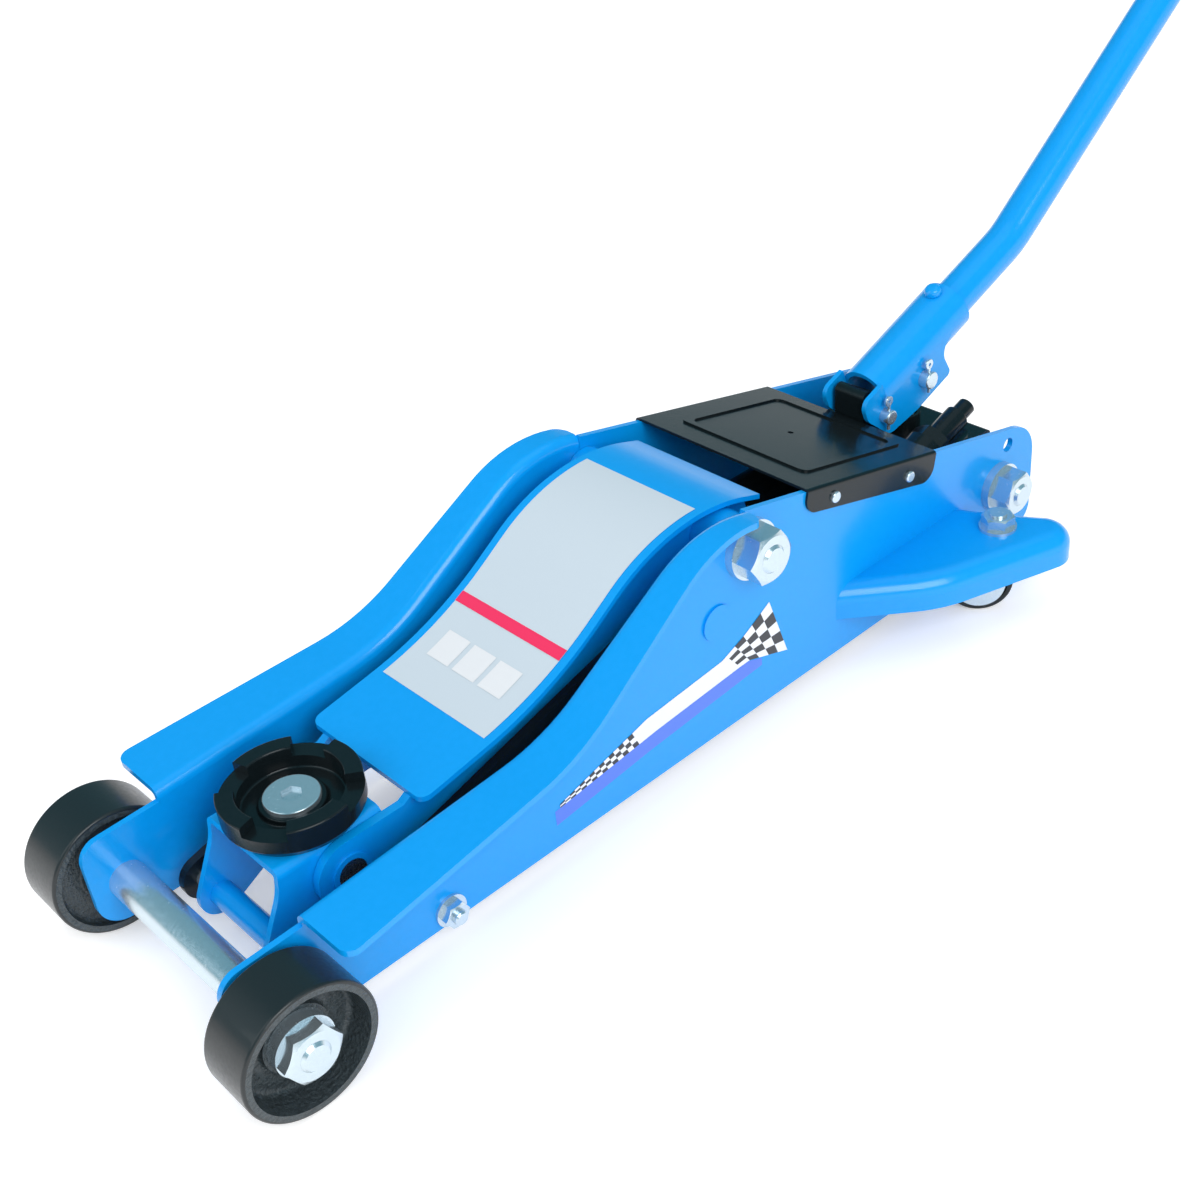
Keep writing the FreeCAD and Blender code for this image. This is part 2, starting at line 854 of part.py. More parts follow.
def rear_line(distance):
    """The height of the plates' straight top edge, which falls towards the rear."""
    return crest_height - rear_slope * (as_size(distance) - size("crest_aft"))


hang_hole_height = derived("hang_hole_height", rear_line(size("hang_hole_aft")) - size("hang_hole_drop"))
block_front_top_height = derived("block_front_top_height",
                                 rear_line(size("block_step_aft")) - size("block_under_lid"))


def lid_place(along, drop):
    """X and Z of a point measured along the sloping lid from its front edge, and below it."""
    along = as_size(along)
    x = aft(size("lid_front_aft")) - (along - rear_slope * drop) / slope_secant
    z = rear_line(size("lid_front_aft")) - (along * rear_slope + drop) / slope_secant
    return x, z


lid_length = derived("lid_length", (size("lid_rear_aft") - size("lid_front_aft")) * slope_secant)
LID_SCREWS = [
    (size("lid_screw_inset"), size("lid_screw_front_drop")),
    (lid_length - size("lid_screw_inset"), size("lid_screw_rear_drop")),
]


# ---- front wheels and their axle -----------------------------------------------------------

wheel_hub_in = derived("wheel_hub_in", plate_outer + size("wheel_washer_thickness") + gap * 4)
wheel_hub_out = derived("wheel_hub_out", wheel_hub_in + size("wheel_hub_width"))
wheel_stack = derived("wheel_stack_across", wheel_hub_out + gap * 4)
wheel_nut_seat = derived("wheel_nut_seat", wheel_stack + size("wheel_washer_thickness") * WHEEL_WASHERS)


def front_wheel():
    inner = size("wheel_inner_across")
    outer = inner + size("wheel_width")
    rim = wheel_radius - size("wheel_rim")
    hub = size("wheel_hub_radius")
    floor = outer - size("wheel_recess")
    back = floor - size("wheel_web")
    bore = size("journal_radius") + gap
    edge = size("wheel_edge")
    wheel = turned("front_wheel", [
        (bore, wheel_hub_in),
        (hub, wheel_hub_in),
        (hub, back, edge),
        (rim, back, edge * 2),
        (rim, inner),
        (wheel_radius, inner, edge),
        (wheel_radius, outer, edge),
        (rim, outer),
        (rim, floor, edge * 2),
        (hub, floor, edge),
        (hub, wheel_hub_out),
        (bore, wheel_hub_out),
    ])
    both_sides("front_wheel", place(wheel, x=front_axle_x, z=wheel_radius))


def stepped_bar(label, radius, thread_radius, shoulder, end, chamfer):
    """A round bar along Y, thinner beyond its two shoulders and bevelled at its ends."""
    half = [(radius, shoulder), (thread_radius, shoulder), (thread_radius, end - chamfer),
            (thread_radius - chamfer, end), (0, end)]
    other_half = [(item[0], -item[1]) for item in reversed(half)]
    return turned(label, other_half + half)


def front_axle():
    bar = stepped_bar("front_axle", size("axle_radius"), size("journal_radius"), plate_inner,
                      size("axle_end_across"), size("axle_chamfer"))
    node("front_axle", place(bar, x=front_axle_x, z=wheel_radius))
    washers = []
    seats = [plate_outer]
    for layer in range(WHEEL_WASHERS):
        seats.append(wheel_stack + size("wheel_washer_thickness") * layer)
    for seat in seats:
        washer = ring("wheel_washer", size("journal_radius") + gap, size("wheel_washer_radius"),
                      size("wheel_washer_thickness"))
        place(washer, front_axle_x, seat, wheel_radius, *ALONG_Y)
        washers += [washer, mirrored(washer, "wheel_washer_right")]
    node("front_axle_washers", grouped("front_axle_washers", washers))
    nut = hex_nut("wheel_nut", size("wheel_nut_flats"), size("wheel_nut_height"),
                  size("journal_radius") + gap)
    place(nut, front_axle_x, wheel_nut_seat, wheel_radius, *ALONG_Y)
    node("front_axle_nuts", pair("front_axle_nuts", nut))


# ---- frame ---------------------------------------------------------------------------------

def side_plates():
    seat = size("flange_seat")
    bottom = size("plate_bottom_height")
    front = aft(-size("nose_reach"))
    flange_end = size("flange_rear_aft")
    notch = seat * rear_slope / (slope_secant * slope_secant)
    outline = [
        Corner(front, size("nose_height"), size("nose_top_radius")),
        Corner(aft(size("flange_front_aft")), size("flange_front_height") - seat),
        Corner(aft(size("valley_aft")), size("valley_height") - seat, size("valley_radius")),
        Corner(aft(size("crest_aft")), crest_height - seat, size("crest_radius")),
        Corner(aft(flange_end - notch), rear_line(flange_end - notch) - seat),
        Corner(aft(flange_end), rear_line(flange_end)),
        Corner(aft(size("plate_rear_aft")), rear_line(size("plate_rear_aft")), size("rear_top_radius")),
        Corner(aft(size("plate_rear_aft")), bottom, size("rear_bottom_radius")),
        Corner(front, bottom, size("nose_bottom_radius")),
    ]
    holes = [
        (front_axle_x, wheel_radius, size("journal_radius") + gap),
        (aft(size("front_tie_aft")), size("front_tie_height"), size("front_tie_thread_radius") + gap),
        (aft(size("pivot_aft")), size("pivot_height"), size("pivot_thread_radius") + gap),
        (aft(size("rear_tie_aft")), size("rear_tie_height"), size("rear_tie_thread_radius") + gap),
        (aft(size("hang_hole_aft")), hang_hole_height, size("hang_hole_radius")),
    ]
    for along, drop in LID_SCREWS:
        holes.append((*lid_place(along, drop), size("lid_screw_radius") + gap))
    body = new_body("side_plate")
    side_pad(body, outline, plate_inner, plate_outer, holes)
    side_flange(body)
    boss = (aft(size("boss_aft")), size("boss_height"), size("boss_radius"))
    side_pad(body, [], plate_outer, plate_outer + size("boss_raise"), [boss])
    both_sides("side_plate", body)


def side_flange(body):
    """The out-turned top flange: a bent section carried along the S of the top edge."""
    start = aft(size("flange_front_aft"))
    top = size("flange_front_height")
    bend = size("flange_bend_radius")
    sheet_metal = size("plate_thickness")
    tip = size("flange_front_across") + TRIM
    section = new_sketch(body, "YZ_Plane", start)
    draw_outline(section, [
        Corner(plate_inner, top - size("flange_leg")),
        Corner(plate_inner, top, bend),
        Corner(tip, top),
        Corner(tip, top - sheet_metal),
        Corner(plate_outer, top - sheet_metal, bend - sheet_metal),
        Corner(plate_outer, top - size("flange_leg")),
    ])
    route = side_sketch(body)
    draw_route(route, [
        Corner(start, top),
        Corner(aft(size("valley_aft")), size("valley_height"), size("valley_radius")),
        Corner(aft(size("crest_aft")), crest_height, size("crest_radius")),
        Corner(aft(size("flange_rear_aft")), rear_line(size("flange_rear_aft"))),
    ])
    sweep(body, section, route)
    rear = aft(size("flange_rear_aft"))
    root_across = plate_outer + bend
    corner = size("flange_corner_radius")
    plan_pocket(body, [
        Corner(start, root_across + bend),
        Corner(start, size("flange_front_across"), corner),
        Corner(rear + bend / 2, size("flange_rear_across"), corner),
        Corner(rear - bend / 4, root_across - bend / 4),
        Corner(rear - TRIM * 3, root_across - bend / 4),
        Corner(rear - TRIM * 3, tip + TRIM),
        Corner(start + TRIM, tip + TRIM),
        Corner(start + TRIM, root_across + bend),
    ], top - size("flange_leg"), crest_height + TRIM)


def cross_bolts():
    """The tie rods and the arm's pivot shaft, with the washers and nuts outside the plates."""
    rod_end = plate_outer + size("front_tie_nut_height") + size("thread_stand_out") * 2
    rod = stepped_bar("front_tie_rod", size("front_tie_radius"), size("front_tie_thread_radius"),
                      plate_inner, rod_end, size("thread_stand_out") / 2)
    node("front_tie_rod", place(rod, x=aft(size("front_tie_aft")), z=size("front_tie_height")))
    bore = size("front_tie_thread_radius") + gap
    flange = ring("tie_nut_flange", bore, size("front_tie_flange_radius"),
                  size("front_tie_flange_thickness"))
    nut = fused("front_tie_nut", [flange, hex_nut("tie_nut", size("front_tie_nut_flats"),
                                                  size("front_tie_nut_height"), bore)])
    place(nut, aft(size("front_tie_aft")), plate_outer, size("front_tie_height"), *ALONG_Y)
    node("front_tie_nuts", pair("front_tie_nuts", nut))
    for name, label in (("pivot", "main_pivot"), ("rear_tie", "rear_tie")):
        washer_name = "pivot" if name == "pivot" else "rear"
        thread = size(name + "_thread_radius")
        x = aft(size(name + "_aft"))
        z = size(name + "_height")
        sheet_metal = size("frame_washer_thickness")
        nut_seat = plate_outer + sheet_metal * FRAME_WASHERS
        nut_height = size(washer_name + "_nut_height")
        end = nut_seat + nut_height + size("thread_stand_out")
        bevel = size("thread_stand_out")
        if name == "pivot":
            bar = stepped_bar("main_pivot_shaft", size("pivot_shaft_radius"), thread, plate_inner, end,
                              bevel)
            node("main_pivot_shaft", place(bar, x=x, z=z))
        else:
            inner = size("block_half_width") - size("rear_stud_depth") + size("side_gap")
            radius = size("rear_tie_radius")
            stud = turned("rear_tie_stud", [
                (0, inner), (radius, inner), (radius, plate_inner), (thread, plate_inner),
                (thread, end - bevel), (thread - bevel, end), (0, end),
            ])
            place(stud, x=x, z=z)
            node("rear_tie_studs", pair("rear_tie_studs", stud))
        washers = []
        for layer in range(FRAME_WASHERS):
            washer = ring(label + "_washer", thread + gap, size(washer_name + "_washer_radius"),
                          sheet_metal)
            place(washer, x, plate_outer + sheet_metal * layer, z, *ALONG_Y)
            washers += [washer, mirrored(washer, label + "_washer_right")]
        node(label + "_washers", grouped(label + "_washers", washers))
        nut = hex_nut(label + "_nut", size(washer_name + "_nut_flats"), nut_height, thread + gap)
        place(nut, x, nut_seat, z, *ALONG_Y)
        node(label + "_nuts", pair(label + "_nuts", nut))


def link_studs():
    """The two pivots inside the plates that the levelling links turn on."""
    head_out = size("link_inner_across") - size("side_gap")
    head_in = head_out - size("stud_head_thickness")
    stud = turned("link_stud", [
        (0, head_in),
        (size("stud_head_radius"), head_in),
        (size("stud_head_radius"), head_out),
        (size("link_stud_radius"), head_out),
        (size("link_stud_radius"), plate_inner),
        (0, plate_inner),
    ])
    place(stud, x=aft(link_rear_aft), z=link_rear_height)
    node("link_pivot_studs", pair("link_pivot_studs", stud))


def lid():
    """The black cover that bridges the plates over the pump, with a flap down each side."""
    outer = plate_outer + size("lid_sheet")
    top = size("lid_sheet")
    deep = size("lid_rear_flap") + TRIM
    body = new_body("top_cover")
    cross_pad(body, [
        Corner(-outer, -deep), Corner(-outer, top, size("lid_bend_radius")),
        Corner(outer, top, size("lid_bend_radius")), Corner(outer, -deep),
        Corner(plate_outer, -deep), Corner(plate_outer, 0),
        Corner(-plate_outer, 0), Corner(-plate_outer, -deep),
    ], -lid_length, 0)
    corner = size("lid_corner_radius")
    shoulder = size("lid_bend_radius")
    side_pocket(body, [
        Corner(TRIM, -deep - TRIM), Corner(TRIM, -shoulder), Corner(0, -shoulder),
        Corner(0, -size("lid_front_flap"), corner),
        Corner(-lid_length, -size("lid_rear_flap"), corner),
        Corner(-lid_length, -shoulder), Corner(-lid_length - TRIM, -shoulder),
        Corner(-lid_length - TRIM, -deep - TRIM),
    ], -outer - TRIM, outer + TRIM)
    rib_front = -size("lid_rib_front_inset")
    rib_rear = size("lid_rib_rear_inset") - lid_length
    half = size("lid_rib_half_width")
    width = size("lid_rib_width")
    radius = size("lid_rib_radius")
    rib = new_sketch(body, "XY_Plane", top)
    for inset in (0, width):
        draw_outline(rib, [
            Corner(rib_front - inset, inset - half, radius), Corner(rib_front - inset, half - inset,
                                                                    radius),
            Corner(rib_rear + inset, half - inset, radius), Corner(rib_rear + inset, inset - half, radius),
        ])
    pad(body, rib, size("lid_rib_raise"))
    centre = (rib_front + rib_rear) / 2
    plan_pocket(body, [], -TRIM, top, [(centre, 0, size("lid_hole_radius"))])
    screw_holes = [(-along, -drop, size("lid_screw_radius") + gap) for along, drop in LID_SCREWS]
    side_pocket(body, [], -outer - TRIM, outer + TRIM, screw_holes)
    place(body, x=aft(size("lid_front_aft")), z=rear_line(size("lid_front_aft")),
          axis=(0, -1, 0), degrees=arc_tangent(rear_slope))
    node("top_cover", body)
    screws = []
    for along, drop in LID_SCREWS:
        head = size("lid_screw_head_radius")
        tip = outer - size("lid_screw_length")
        screw = turned("cover_screw", [
            (0, tip), (size("lid_screw_radius"), tip), (size("lid_screw_radius"), outer), (head, outer),
            (head, outer + size("lid_screw_head_height"), size("lid_screw_head_height") / 2),
            (0, outer + size("lid_screw_head_height")),
        ])
        x, z = lid_place(along, drop)
        place(screw, x=x, z=z)
        screws += [screw, mirrored(screw, "cover_screw_right")]
    node("top_cover_screws", grouped("top_cover_screws", screws))


def wing_brackets():
    """The two pressed wings welded to the plates, which stand on the casters."""
    top = size("wing_top_height")
    skirt = size("wing_skirt_height")
    body = new_body("wing_bracket")
    plan_pad(body, [
        Corner(aft(size("wing_front_aft")), plate_outer),
        Corner(aft(size("wing_elbow_aft")), size("wing_elbow_across"), size("wing_elbow_radius")),
        Corner(aft(size("wing_tail_aft")), size("wing_tail_across"), size("wing_tail_radius")),
        Corner(aft(size("wing_waist_aft")), size("wing_waist_across"), size("wing_waist_radius")),
        Corner(aft(size("wing_rear_aft")), plate_outer),
    ], skirt, top)

    def along_the_rim(edge, middle):
        level = all(near(vertex.Z, top) for vertex in edge.Vertexes)
        return level and not near(middle.y, plate_outer)

    round_edges(body, size("wing_bend_radius"), along_the_rim)
    hollow(body, size("wing_sheet"), lambda face: near(face.CenterOfMass.z, skirt)
           or near(face.CenterOfMass.y, plate_outer))
    plan_pocket(body, [], skirt, top + TRIM,
                [(aft(size("caster_aft")), size("caster_across"), size("caster_stem_radius") + gap)])
    well = size("caster_trail") + size("caster_room")
    plan_pocket(body, [], skirt - TRIM, top - size("wing_sheet"),
                [(aft(size("caster_aft")), size("caster_across"), well)])
    both_sides("wing_bracket", body)


# ---- casters -------------------------------------------------------------------------------

def casters():
    """The swivelling wheels, which rest swung inwards about their stems."""
    x = aft(size("caster_aft"))
    y = size("caster_across")
    swing = -size("caster_swing")
    wheel_x = x + size("caster_trail") * cosine(swing)
    wheel_y = y + size("caster_trail") * sine(swing)
    trail = size("caster_trail")
    wheel_z = size("caster_wheel_radius")
    top = size("wing_top_height")
    crown_top = top - size("wing_sheet") - size("side_gap")
    crown_bottom = crown_top - size("caster_crown_thickness")
    half = size("caster_wheel_width") / 2
    cheek_in = half + size("side_gap")
    cheek_out = cheek_in + size("caster_cheek")
    crown = size("caster_crown_radius")
    rivet_hole = (trail, wheel_z, size("caster_rivet_radius"))

    yoke = new_body("caster_yoke")
    plan_pad(yoke, block(-crown, crown, -cheek_out, cheek_out), crown_bottom, crown_top)
    cheek = [
        Round(trail, wheel_z, size("caster_cheek_radius")),
        Corner(-crown, crown_bottom - size("caster_crown_thickness"), size("caster_crown_thickness")),
        Corner(-crown, crown_top),
        Corner(crown, crown_top),
    ]
    side_pad(yoke, cheek, cheek_in, cheek_out, [rivet_hole])
    side_pad(yoke, cheek, -cheek_out, -cheek_in, [rivet_hole])
    nut_seat = top + size("caster_washer_thickness")
    stem_end = nut_seat + size("caster_nut_height") + size("thread_stand_out")
    plan_pad(yoke, [], crown_bottom, stem_end, [(0, 0, size("caster_stem_radius"))])
    both_sides("caster_yoke", place(yoke, x, y, 0, (0, 0, 1), swing))

    tread = size("caster_tread")
    bore = size("caster_rivet_radius") + gap
    wheel = turned("caster_wheel", [
        (bore, -half), (wheel_z - tread * 3, -half), (wheel_z - tread * 2, tread - half),
        (wheel_z - tread, tread - half), (wheel_z - tread, -half), (wheel_z, -half, tread / 2),
        (wheel_z, half, tread / 2), (wheel_z - tread, half), (wheel_z - tread, half - tread),
        (wheel_z - tread * 2, half - tread), (wheel_z - tread * 3, half), (bore, half),
    ])
    both_sides("caster_wheel", place(wheel, wheel_x, wheel_y, wheel_z, (0, 0, 1), swing))

    head = size("caster_rivet_head_radius")
    far = cheek_out + size("caster_rivet_head")
    rivet = turned("caster_rivet", [
        (0, -far), (head, -far, size("caster_rivet_head") / 2), (head, -cheek_out),
        (size("caster_rivet_radius"), -cheek_out), (size("caster_rivet_radius"), cheek_out),
        (head, cheek_out), (head, far, size("caster_rivet_head") / 2), (0, far),
    ])
    both_sides("caster_rivet", place(rivet, wheel_x, wheel_y, wheel_z, (0, 0, 1), swing))

    stem_bore = size("caster_stem_radius") + gap
    washer = ring("caster_washer", stem_bore, size("caster_washer_radius"), size("caster_washer_thickness"))
    place(washer, x, y, top)
    nut = hex_nut("caster_nut", size("caster_nut_flats"), size("caster_nut_height"), stem_bore)
    place(nut, x, y, nut_seat)
    node("caster_nuts", grouped("caster_nuts", [washer, mirrored(washer, "caster_washer_right"),
                                                nut, mirrored(nut, "caster_nut_right")]))


# ---- lift arm ------------------------------------------------------------------------------

arm_pin_x = aft(size("arm_pin_aft"))
pivot_x = aft(size("pivot_aft"))
horn_x = aft(size("horn_aft"))
arm_side_outer = derived("arm_side_outer", size("arm_side_inner_across") + size("arm_side_thickness"))
arm_tube_radius = derived("arm_tube_radius", size("pivot_shaft_radius") + gap + size("arm_pivot_wall"))


def arm_top_line(drop, rear):
    """The S-shaped line of the arm's cover from front to rear, lowered by a drop."""
    crest_aft = size("cover_crest_aft")
    rear_fall = (cover_crest_height - cover_rear_height) / (size("cover_rear_aft") - crest_aft)
    return [
        Corner(aft(size("cover_front_aft")), size("cover_front_height") - drop),
        Corner(aft(size("cover_valley_aft")), size("cover_valley_height") - drop,
               size("cover_valley_radius")),
        Corner(aft(crest_aft), cover_crest_height - drop, size("cover_crest_radius")),
        Corner(aft(rear), cover_crest_height - (rear - crest_aft) * rear_fall - drop),
    ]


def lift_arm():
    sheet_metal = size("cover_sheet")
    ear_top = size("arm_pin_height") + size("arm_ear_radius")
    outline = [Corner(aft(size("cover_front_aft") - size("arm_ear_corner_radius")), ear_top)]
    outline += arm_top_line(sheet_metal, size("cover_rear_aft") - sheet_metal)
    outline += [
        Round(horn_x, size("horn_height"), size("horn_radius")),
        Round(arm_pin_x, size("arm_pin_height"), size("arm_ear_radius")),
    ]
    holes = [
        (arm_pin_x, size("arm_pin_height"), size("arm_pin_radius") + gap),
        (pivot_x, size("pivot_height"), arm_tube_radius + gap),
        (horn_x, size("horn_height"), size("horn_pin_radius") + gap),
    ]
    side = new_body("arm_side")
    side_pad(side, outline, size("arm_side_inner_across"), arm_side_outer, holes)
    boss_face = arm_side_outer + size("arm_boss_raise")
    pin = (arm_pin_x, size("arm_pin_height"), size("arm_pin_radius") + gap)
    side_pad(side, [], arm_side_outer, boss_face,
             [(arm_pin_x, size("arm_pin_height"), size("arm_boss_radius")), pin])
    both_sides("arm_side", side)

    cover = new_body("arm_top_cover")
    upper = arm_top_line(0, size("cover_rear_aft"))
    lower = arm_top_line(sheet_metal, size("cover_rear_aft"))
    half = size("cover_half_width")
    side_pad(cover, upper + lower[::-1], -half, half)

    def front_corners(edge, middle):
        return near(middle.x, aft(size("cover_front_aft"))) and near(abs(middle.y), half)

    round_edges(cover, size("cover_corner_radius"), front_corners)
    node("arm_top_cover", cover)

    tube_end = plate_inner - size("side_gap")
    tube = turned("arm_pivot_tube", [
        (size("pivot_shaft_radius") + gap, -tube_end), (arm_tube_radius, -tube_end),
        (arm_tube_radius, tube_end), (size("pivot_shaft_radius") + gap, tube_end),
    ])
    node("arm_pivot_tube", place(tube, x=pivot_x, z=size("pivot_height")))
    pin = cylinder("arm_front_pin", size("arm_pin_radius"), boss_face * 2)
    node("arm_front_pin", place(pin, arm_pin_x, -boss_face, size("arm_pin_height"), *ALONG_Y))
    pin = cylinder("horn_pin", size("horn_pin_radius"), arm_side_outer * 2)
    node("horn_pin", place(pin, horn_x, -arm_side_outer, size("horn_height"), *ALONG_Y))


# ---- saddle bracket, levelling links and saddle --------------------------------------------

def saddle_bracket():
    top = bracket_top_height
    under = top - size("bracket_sheet")
    half = size("bracket_half_width")
    inner = half - size("bracket_sheet")
    front = aft(size("bracket_front_aft"))
    rear = aft(size("bracket_rear_aft"))
    link_pin = (link_pin_x, size("link_pin_height"))
    arm_pin = (arm_pin_x, size("arm_pin_height"))
    body = new_body("saddle_bracket")
    side_pad(body, [
        Corner(front, top),
        Corner(front + size("bracket_waist_lead"), size("bracket_waist_height"),
               size("bracket_waist_radius")),
        Round(*link_pin, size("bracket_toe_radius")),
        Round(*arm_pin, size("bracket_eye_radius")),
        Corner(rear, size("arm_pin_height") + size("bracket_eye_radius") / 2),
        Corner(rear, top),
    ], -half, half, [(*link_pin, size("link_pin_radius") + gap), (*arm_pin, size("arm_pin_radius") + gap)])
    bend = size("bracket_top_radius") - size("bracket_sheet")
    cross_pocket(body, [
        Corner(-inner, 0), Corner(inner, 0), Corner(inner, under, bend), Corner(-inner, under, bend),
    ], rear - TRIM, link_pin_x + size("bracket_toe_radius") + TRIM)

    def long_top_edges(edge, middle):
        return near(middle.z, top) and near(abs(middle.y), half)

    round_edges(body, size("bracket_top_radius"), long_top_edges)
    plan_pocket(body, [], under - TRIM, top, [(saddle_x, 0, size("saddle_screw_radius") + gap)])
    node("saddle_bracket", body)

    bore = size("link_pin_radius") + gap
    tube = turned("bracket_cross_tube", [
        (bore, -inner), (size("cross_tube_radius"), -inner),
        (size("cross_tube_radius"), inner), (bore, inner),
    ])
    node("bracket_cross_tube", place(tube, x=link_pin_x, z=size("link_pin_height")))
    seat = link_outer + size("side_gap")
    end = seat + size("link_pin_head_thickness")
    head = size("link_pin_head_radius")
    pin = turned("link_front_pin", [
        (0, -end), (head, -end), (head, -seat), (size("link_pin_radius"), -seat),
        (size("link_pin_radius"), seat), (head, seat), (head, end), (0, end),
    ])
    node("link_front_pin", place(pin, x=link_pin_x, z=size("link_pin_height")))


def level_links():
    body = new_body("level_link")
    front = (link_pin_x, size("link_pin_height"))
    rear = (aft(link_rear_aft), link_rear_height)
    side_pad(body, [Round(*front, size("link_half_height")), Round(*rear, size("link_half_height"))],
             size("link_inner_across"), link_outer,
             [(*front, size("link_pin_radius") + gap), (*rear, size("link_stud_radius") + gap)])
    both_sides("level_link", body)


def saddle():
    base = bracket_top_height + gap
    height = size("saddle_height")
    rim = size("saddle_radius")
    floor = size("saddle_floor")
    seat = size("saddle_seat_height")
    bore = size("saddle_screw_radius") + gap
    gap_floor = height - size("lug_gap_depth")
    body = turned("saddle", [
        (bore, 0), (size("saddle_foot_radius"), 0), (rim, floor, floor / 2), (rim, height, floor / 4),
        (size("lug_inner_radius"), height, floor / 4), (size("lug_inner_radius"), floor, floor / 3),
        (size("saddle_seat_radius"), floor, floor / 3), (size("saddle_seat_radius"), seat, floor / 4),
        (bore, seat),
    ], along="z")
    reach = rim * 2
    half_gap = size("lug_gap_degrees") / 2
    middle = 180 / size("lug_count")
    wedge = plan_pocket(body, [
        Corner(0, 0),
        Corner(reach * cosine(middle - half_gap), reach * sine(middle - half_gap)),
        Corner(reach * cosine(middle + half_gap), reach * sine(middle + half_gap)),
    ], gap_floor, height + TRIM)
    pattern = body.newObject("PartDesign::PolarPattern", "saddle_gaps")
    pattern.Originals = [wedge]
    pattern.Axis = (wedge.Profile[0], ["N_Axis"])
    bind(pattern, "Angle", 360)
    bind(pattern, "Occurrences", size("lug_count"))
    body.Tip = pattern
    place(body, saddle_x, 0, base, (0, 0, -1), size("saddle_turn_degrees"))
    node("saddle", body)

    under = bracket_top_height - size("bracket_sheet")
    head_seat = base + seat
    head_top = head_seat + size("saddle_screw_head_height")
    tip = under - size("saddle_nut_height") - size("thread_stand_out")
    blank = turned("saddle_screw_blank", [
        (0, tip), (size("saddle_screw_radius"), tip), (size("saddle_screw_radius"), head_seat),
        (size("saddle_screw_head_radius"), head_seat),
        (size("saddle_screw_head_radius"), head_top, size("saddle_screw_head_height") / 3), (0, head_top),
    ], along="z")
    socket = hexagon("saddle_screw_socket", size("saddle_socket_flats"), size("saddle_socket_depth"))
    place(socket, z=head_top - size("saddle_socket_depth"))
    screw = cut("saddle_screw", blank, socket)
    node("saddle_screw", place(screw, x=saddle_x))
    nut = hex_nut("saddle_nut", size("saddle_nut_flats"), size("saddle_nut_height"), bore)
    node("saddle_nut", place(nut, x=saddle_x, z=under, axis=(1, 0, 0), degrees=180))


# ---- pump and ram --------------------------------------------------------------------------

pump_pin_x = aft(size("pump_pin_aft"))
plunger_bore = derived("plunger_bore", size("plunger_radius") + gap)
spring_bore = derived("spring_bore", size("spring_radius") + size("spring_wire_radius") * 2)
ram_head_aft = derived("ram_head_aft", size("horn_aft") + size("horn_pin_radius") + size("ram_gap"))
cap_rear_aft = derived("cap_rear_aft", size("cylinder_cap_aft") + size("cylinder_cap_length"))
piston_aft = derived("piston_front_aft", cap_rear_aft + size("ram_stroke") + size("thread_stand_out"))
cylinder_bore = derived("cylinder_bore", size("piston_radius") + gap)
cylinder_radius = derived("cylinder_radius", cylinder_bore + size("cylinder_wall"))


def valve_line(label, length, radius, start):
    """A plain cylinder along the release valve's sloping axis, measured up from its base."""
    item = cylinder(label, radius, length)
    return on_valve_axis(item, start)


def on_valve_axis(item, start):
    slope = size("valve_rise_degrees")
    x = aft(size("valve_aft")) - start * cosine(slope)
    z = size("valve_height") + start * sine(slope)
    return place(item, x, size("valve_across"), z, (0, -1, 0), 90 - slope)


def pump_block():
    front = aft(size("block_front_aft"))
    step = aft(size("block_step_aft"))
    rear = aft(size("block_rear_aft"))
    bottom = size("block_bottom_height")
    top = size("block_top_height")
    edge = size("block_edge_radius")
    half = size("block_half_width")
    body = new_body("pump_casting")
    side_pad(body, [
        Corner(front, bottom, edge), Corner(front, block_front_top_height, edge),
        Corner(step, block_front_top_height, edge), Corner(step, top, edge),
        Corner(rear, top, edge), Corner(rear, bottom, edge),
    ], -half, half)
    stud_hole = (aft(size("rear_tie_aft")), size("rear_tie_height"), size("rear_tie_radius") + gap)
    hole_floor = half - size("rear_stud_depth")
    side_pocket(body, [], hole_floor, half + TRIM, [stud_hole])
    side_pocket(body, [], -half - TRIM, -hole_floor, [stud_hole])
    barrel = (pump_pin_x, 0, size("pump_barrel_radius"))
    plan_pad(body, [], top, size("pump_barrel_top_height"), [barrel])
    plan_pocket(body, [], size("spring_seat_height"), size("pump_barrel_top_height"),
                [(pump_pin_x, 0, spring_bore)])
    plan_pocket(body, [], size("plunger_bottom_height") - size("pump_room"), size("spring_seat_height"),
                [(pump_pin_x, 0, plunger_bore)])
    cross_pocket(body, [], front - size("cylinder_seat"), front, [(0, size("ram_height"),
                                                                   cylinder_radius + gap)])
    gland_foot = -size("gland_length") + gap
    boss = valve_line("valve_boss", size("valve_stem_length") + gland_foot, size("valve_boss_radius"),
                      -size("valve_stem_length"))
    bore = valve_line("valve_bore", size("valve_stem_length") + TRIM, size("valve_stem_radius") + gap,
                      -size("valve_stem_length") - gap)
    recess = valve_line("valve_recess", size("valve_stem_length") * 2, size("valve_boss_radius") + gap,
                        gland_foot)
    casting = fused("pump_casting_with_boss", [body, boss])
    node("pump_block", cut("pump_block", casting, fused("valve_opening", [bore, recess])))
    gland = hex_nut("release_valve_gland", size("gland_flats"), size("gland_length"),
                    size("valve_stem_radius") + gap)
    node("release_valve_gland", on_valve_axis(gland, gland_foot))


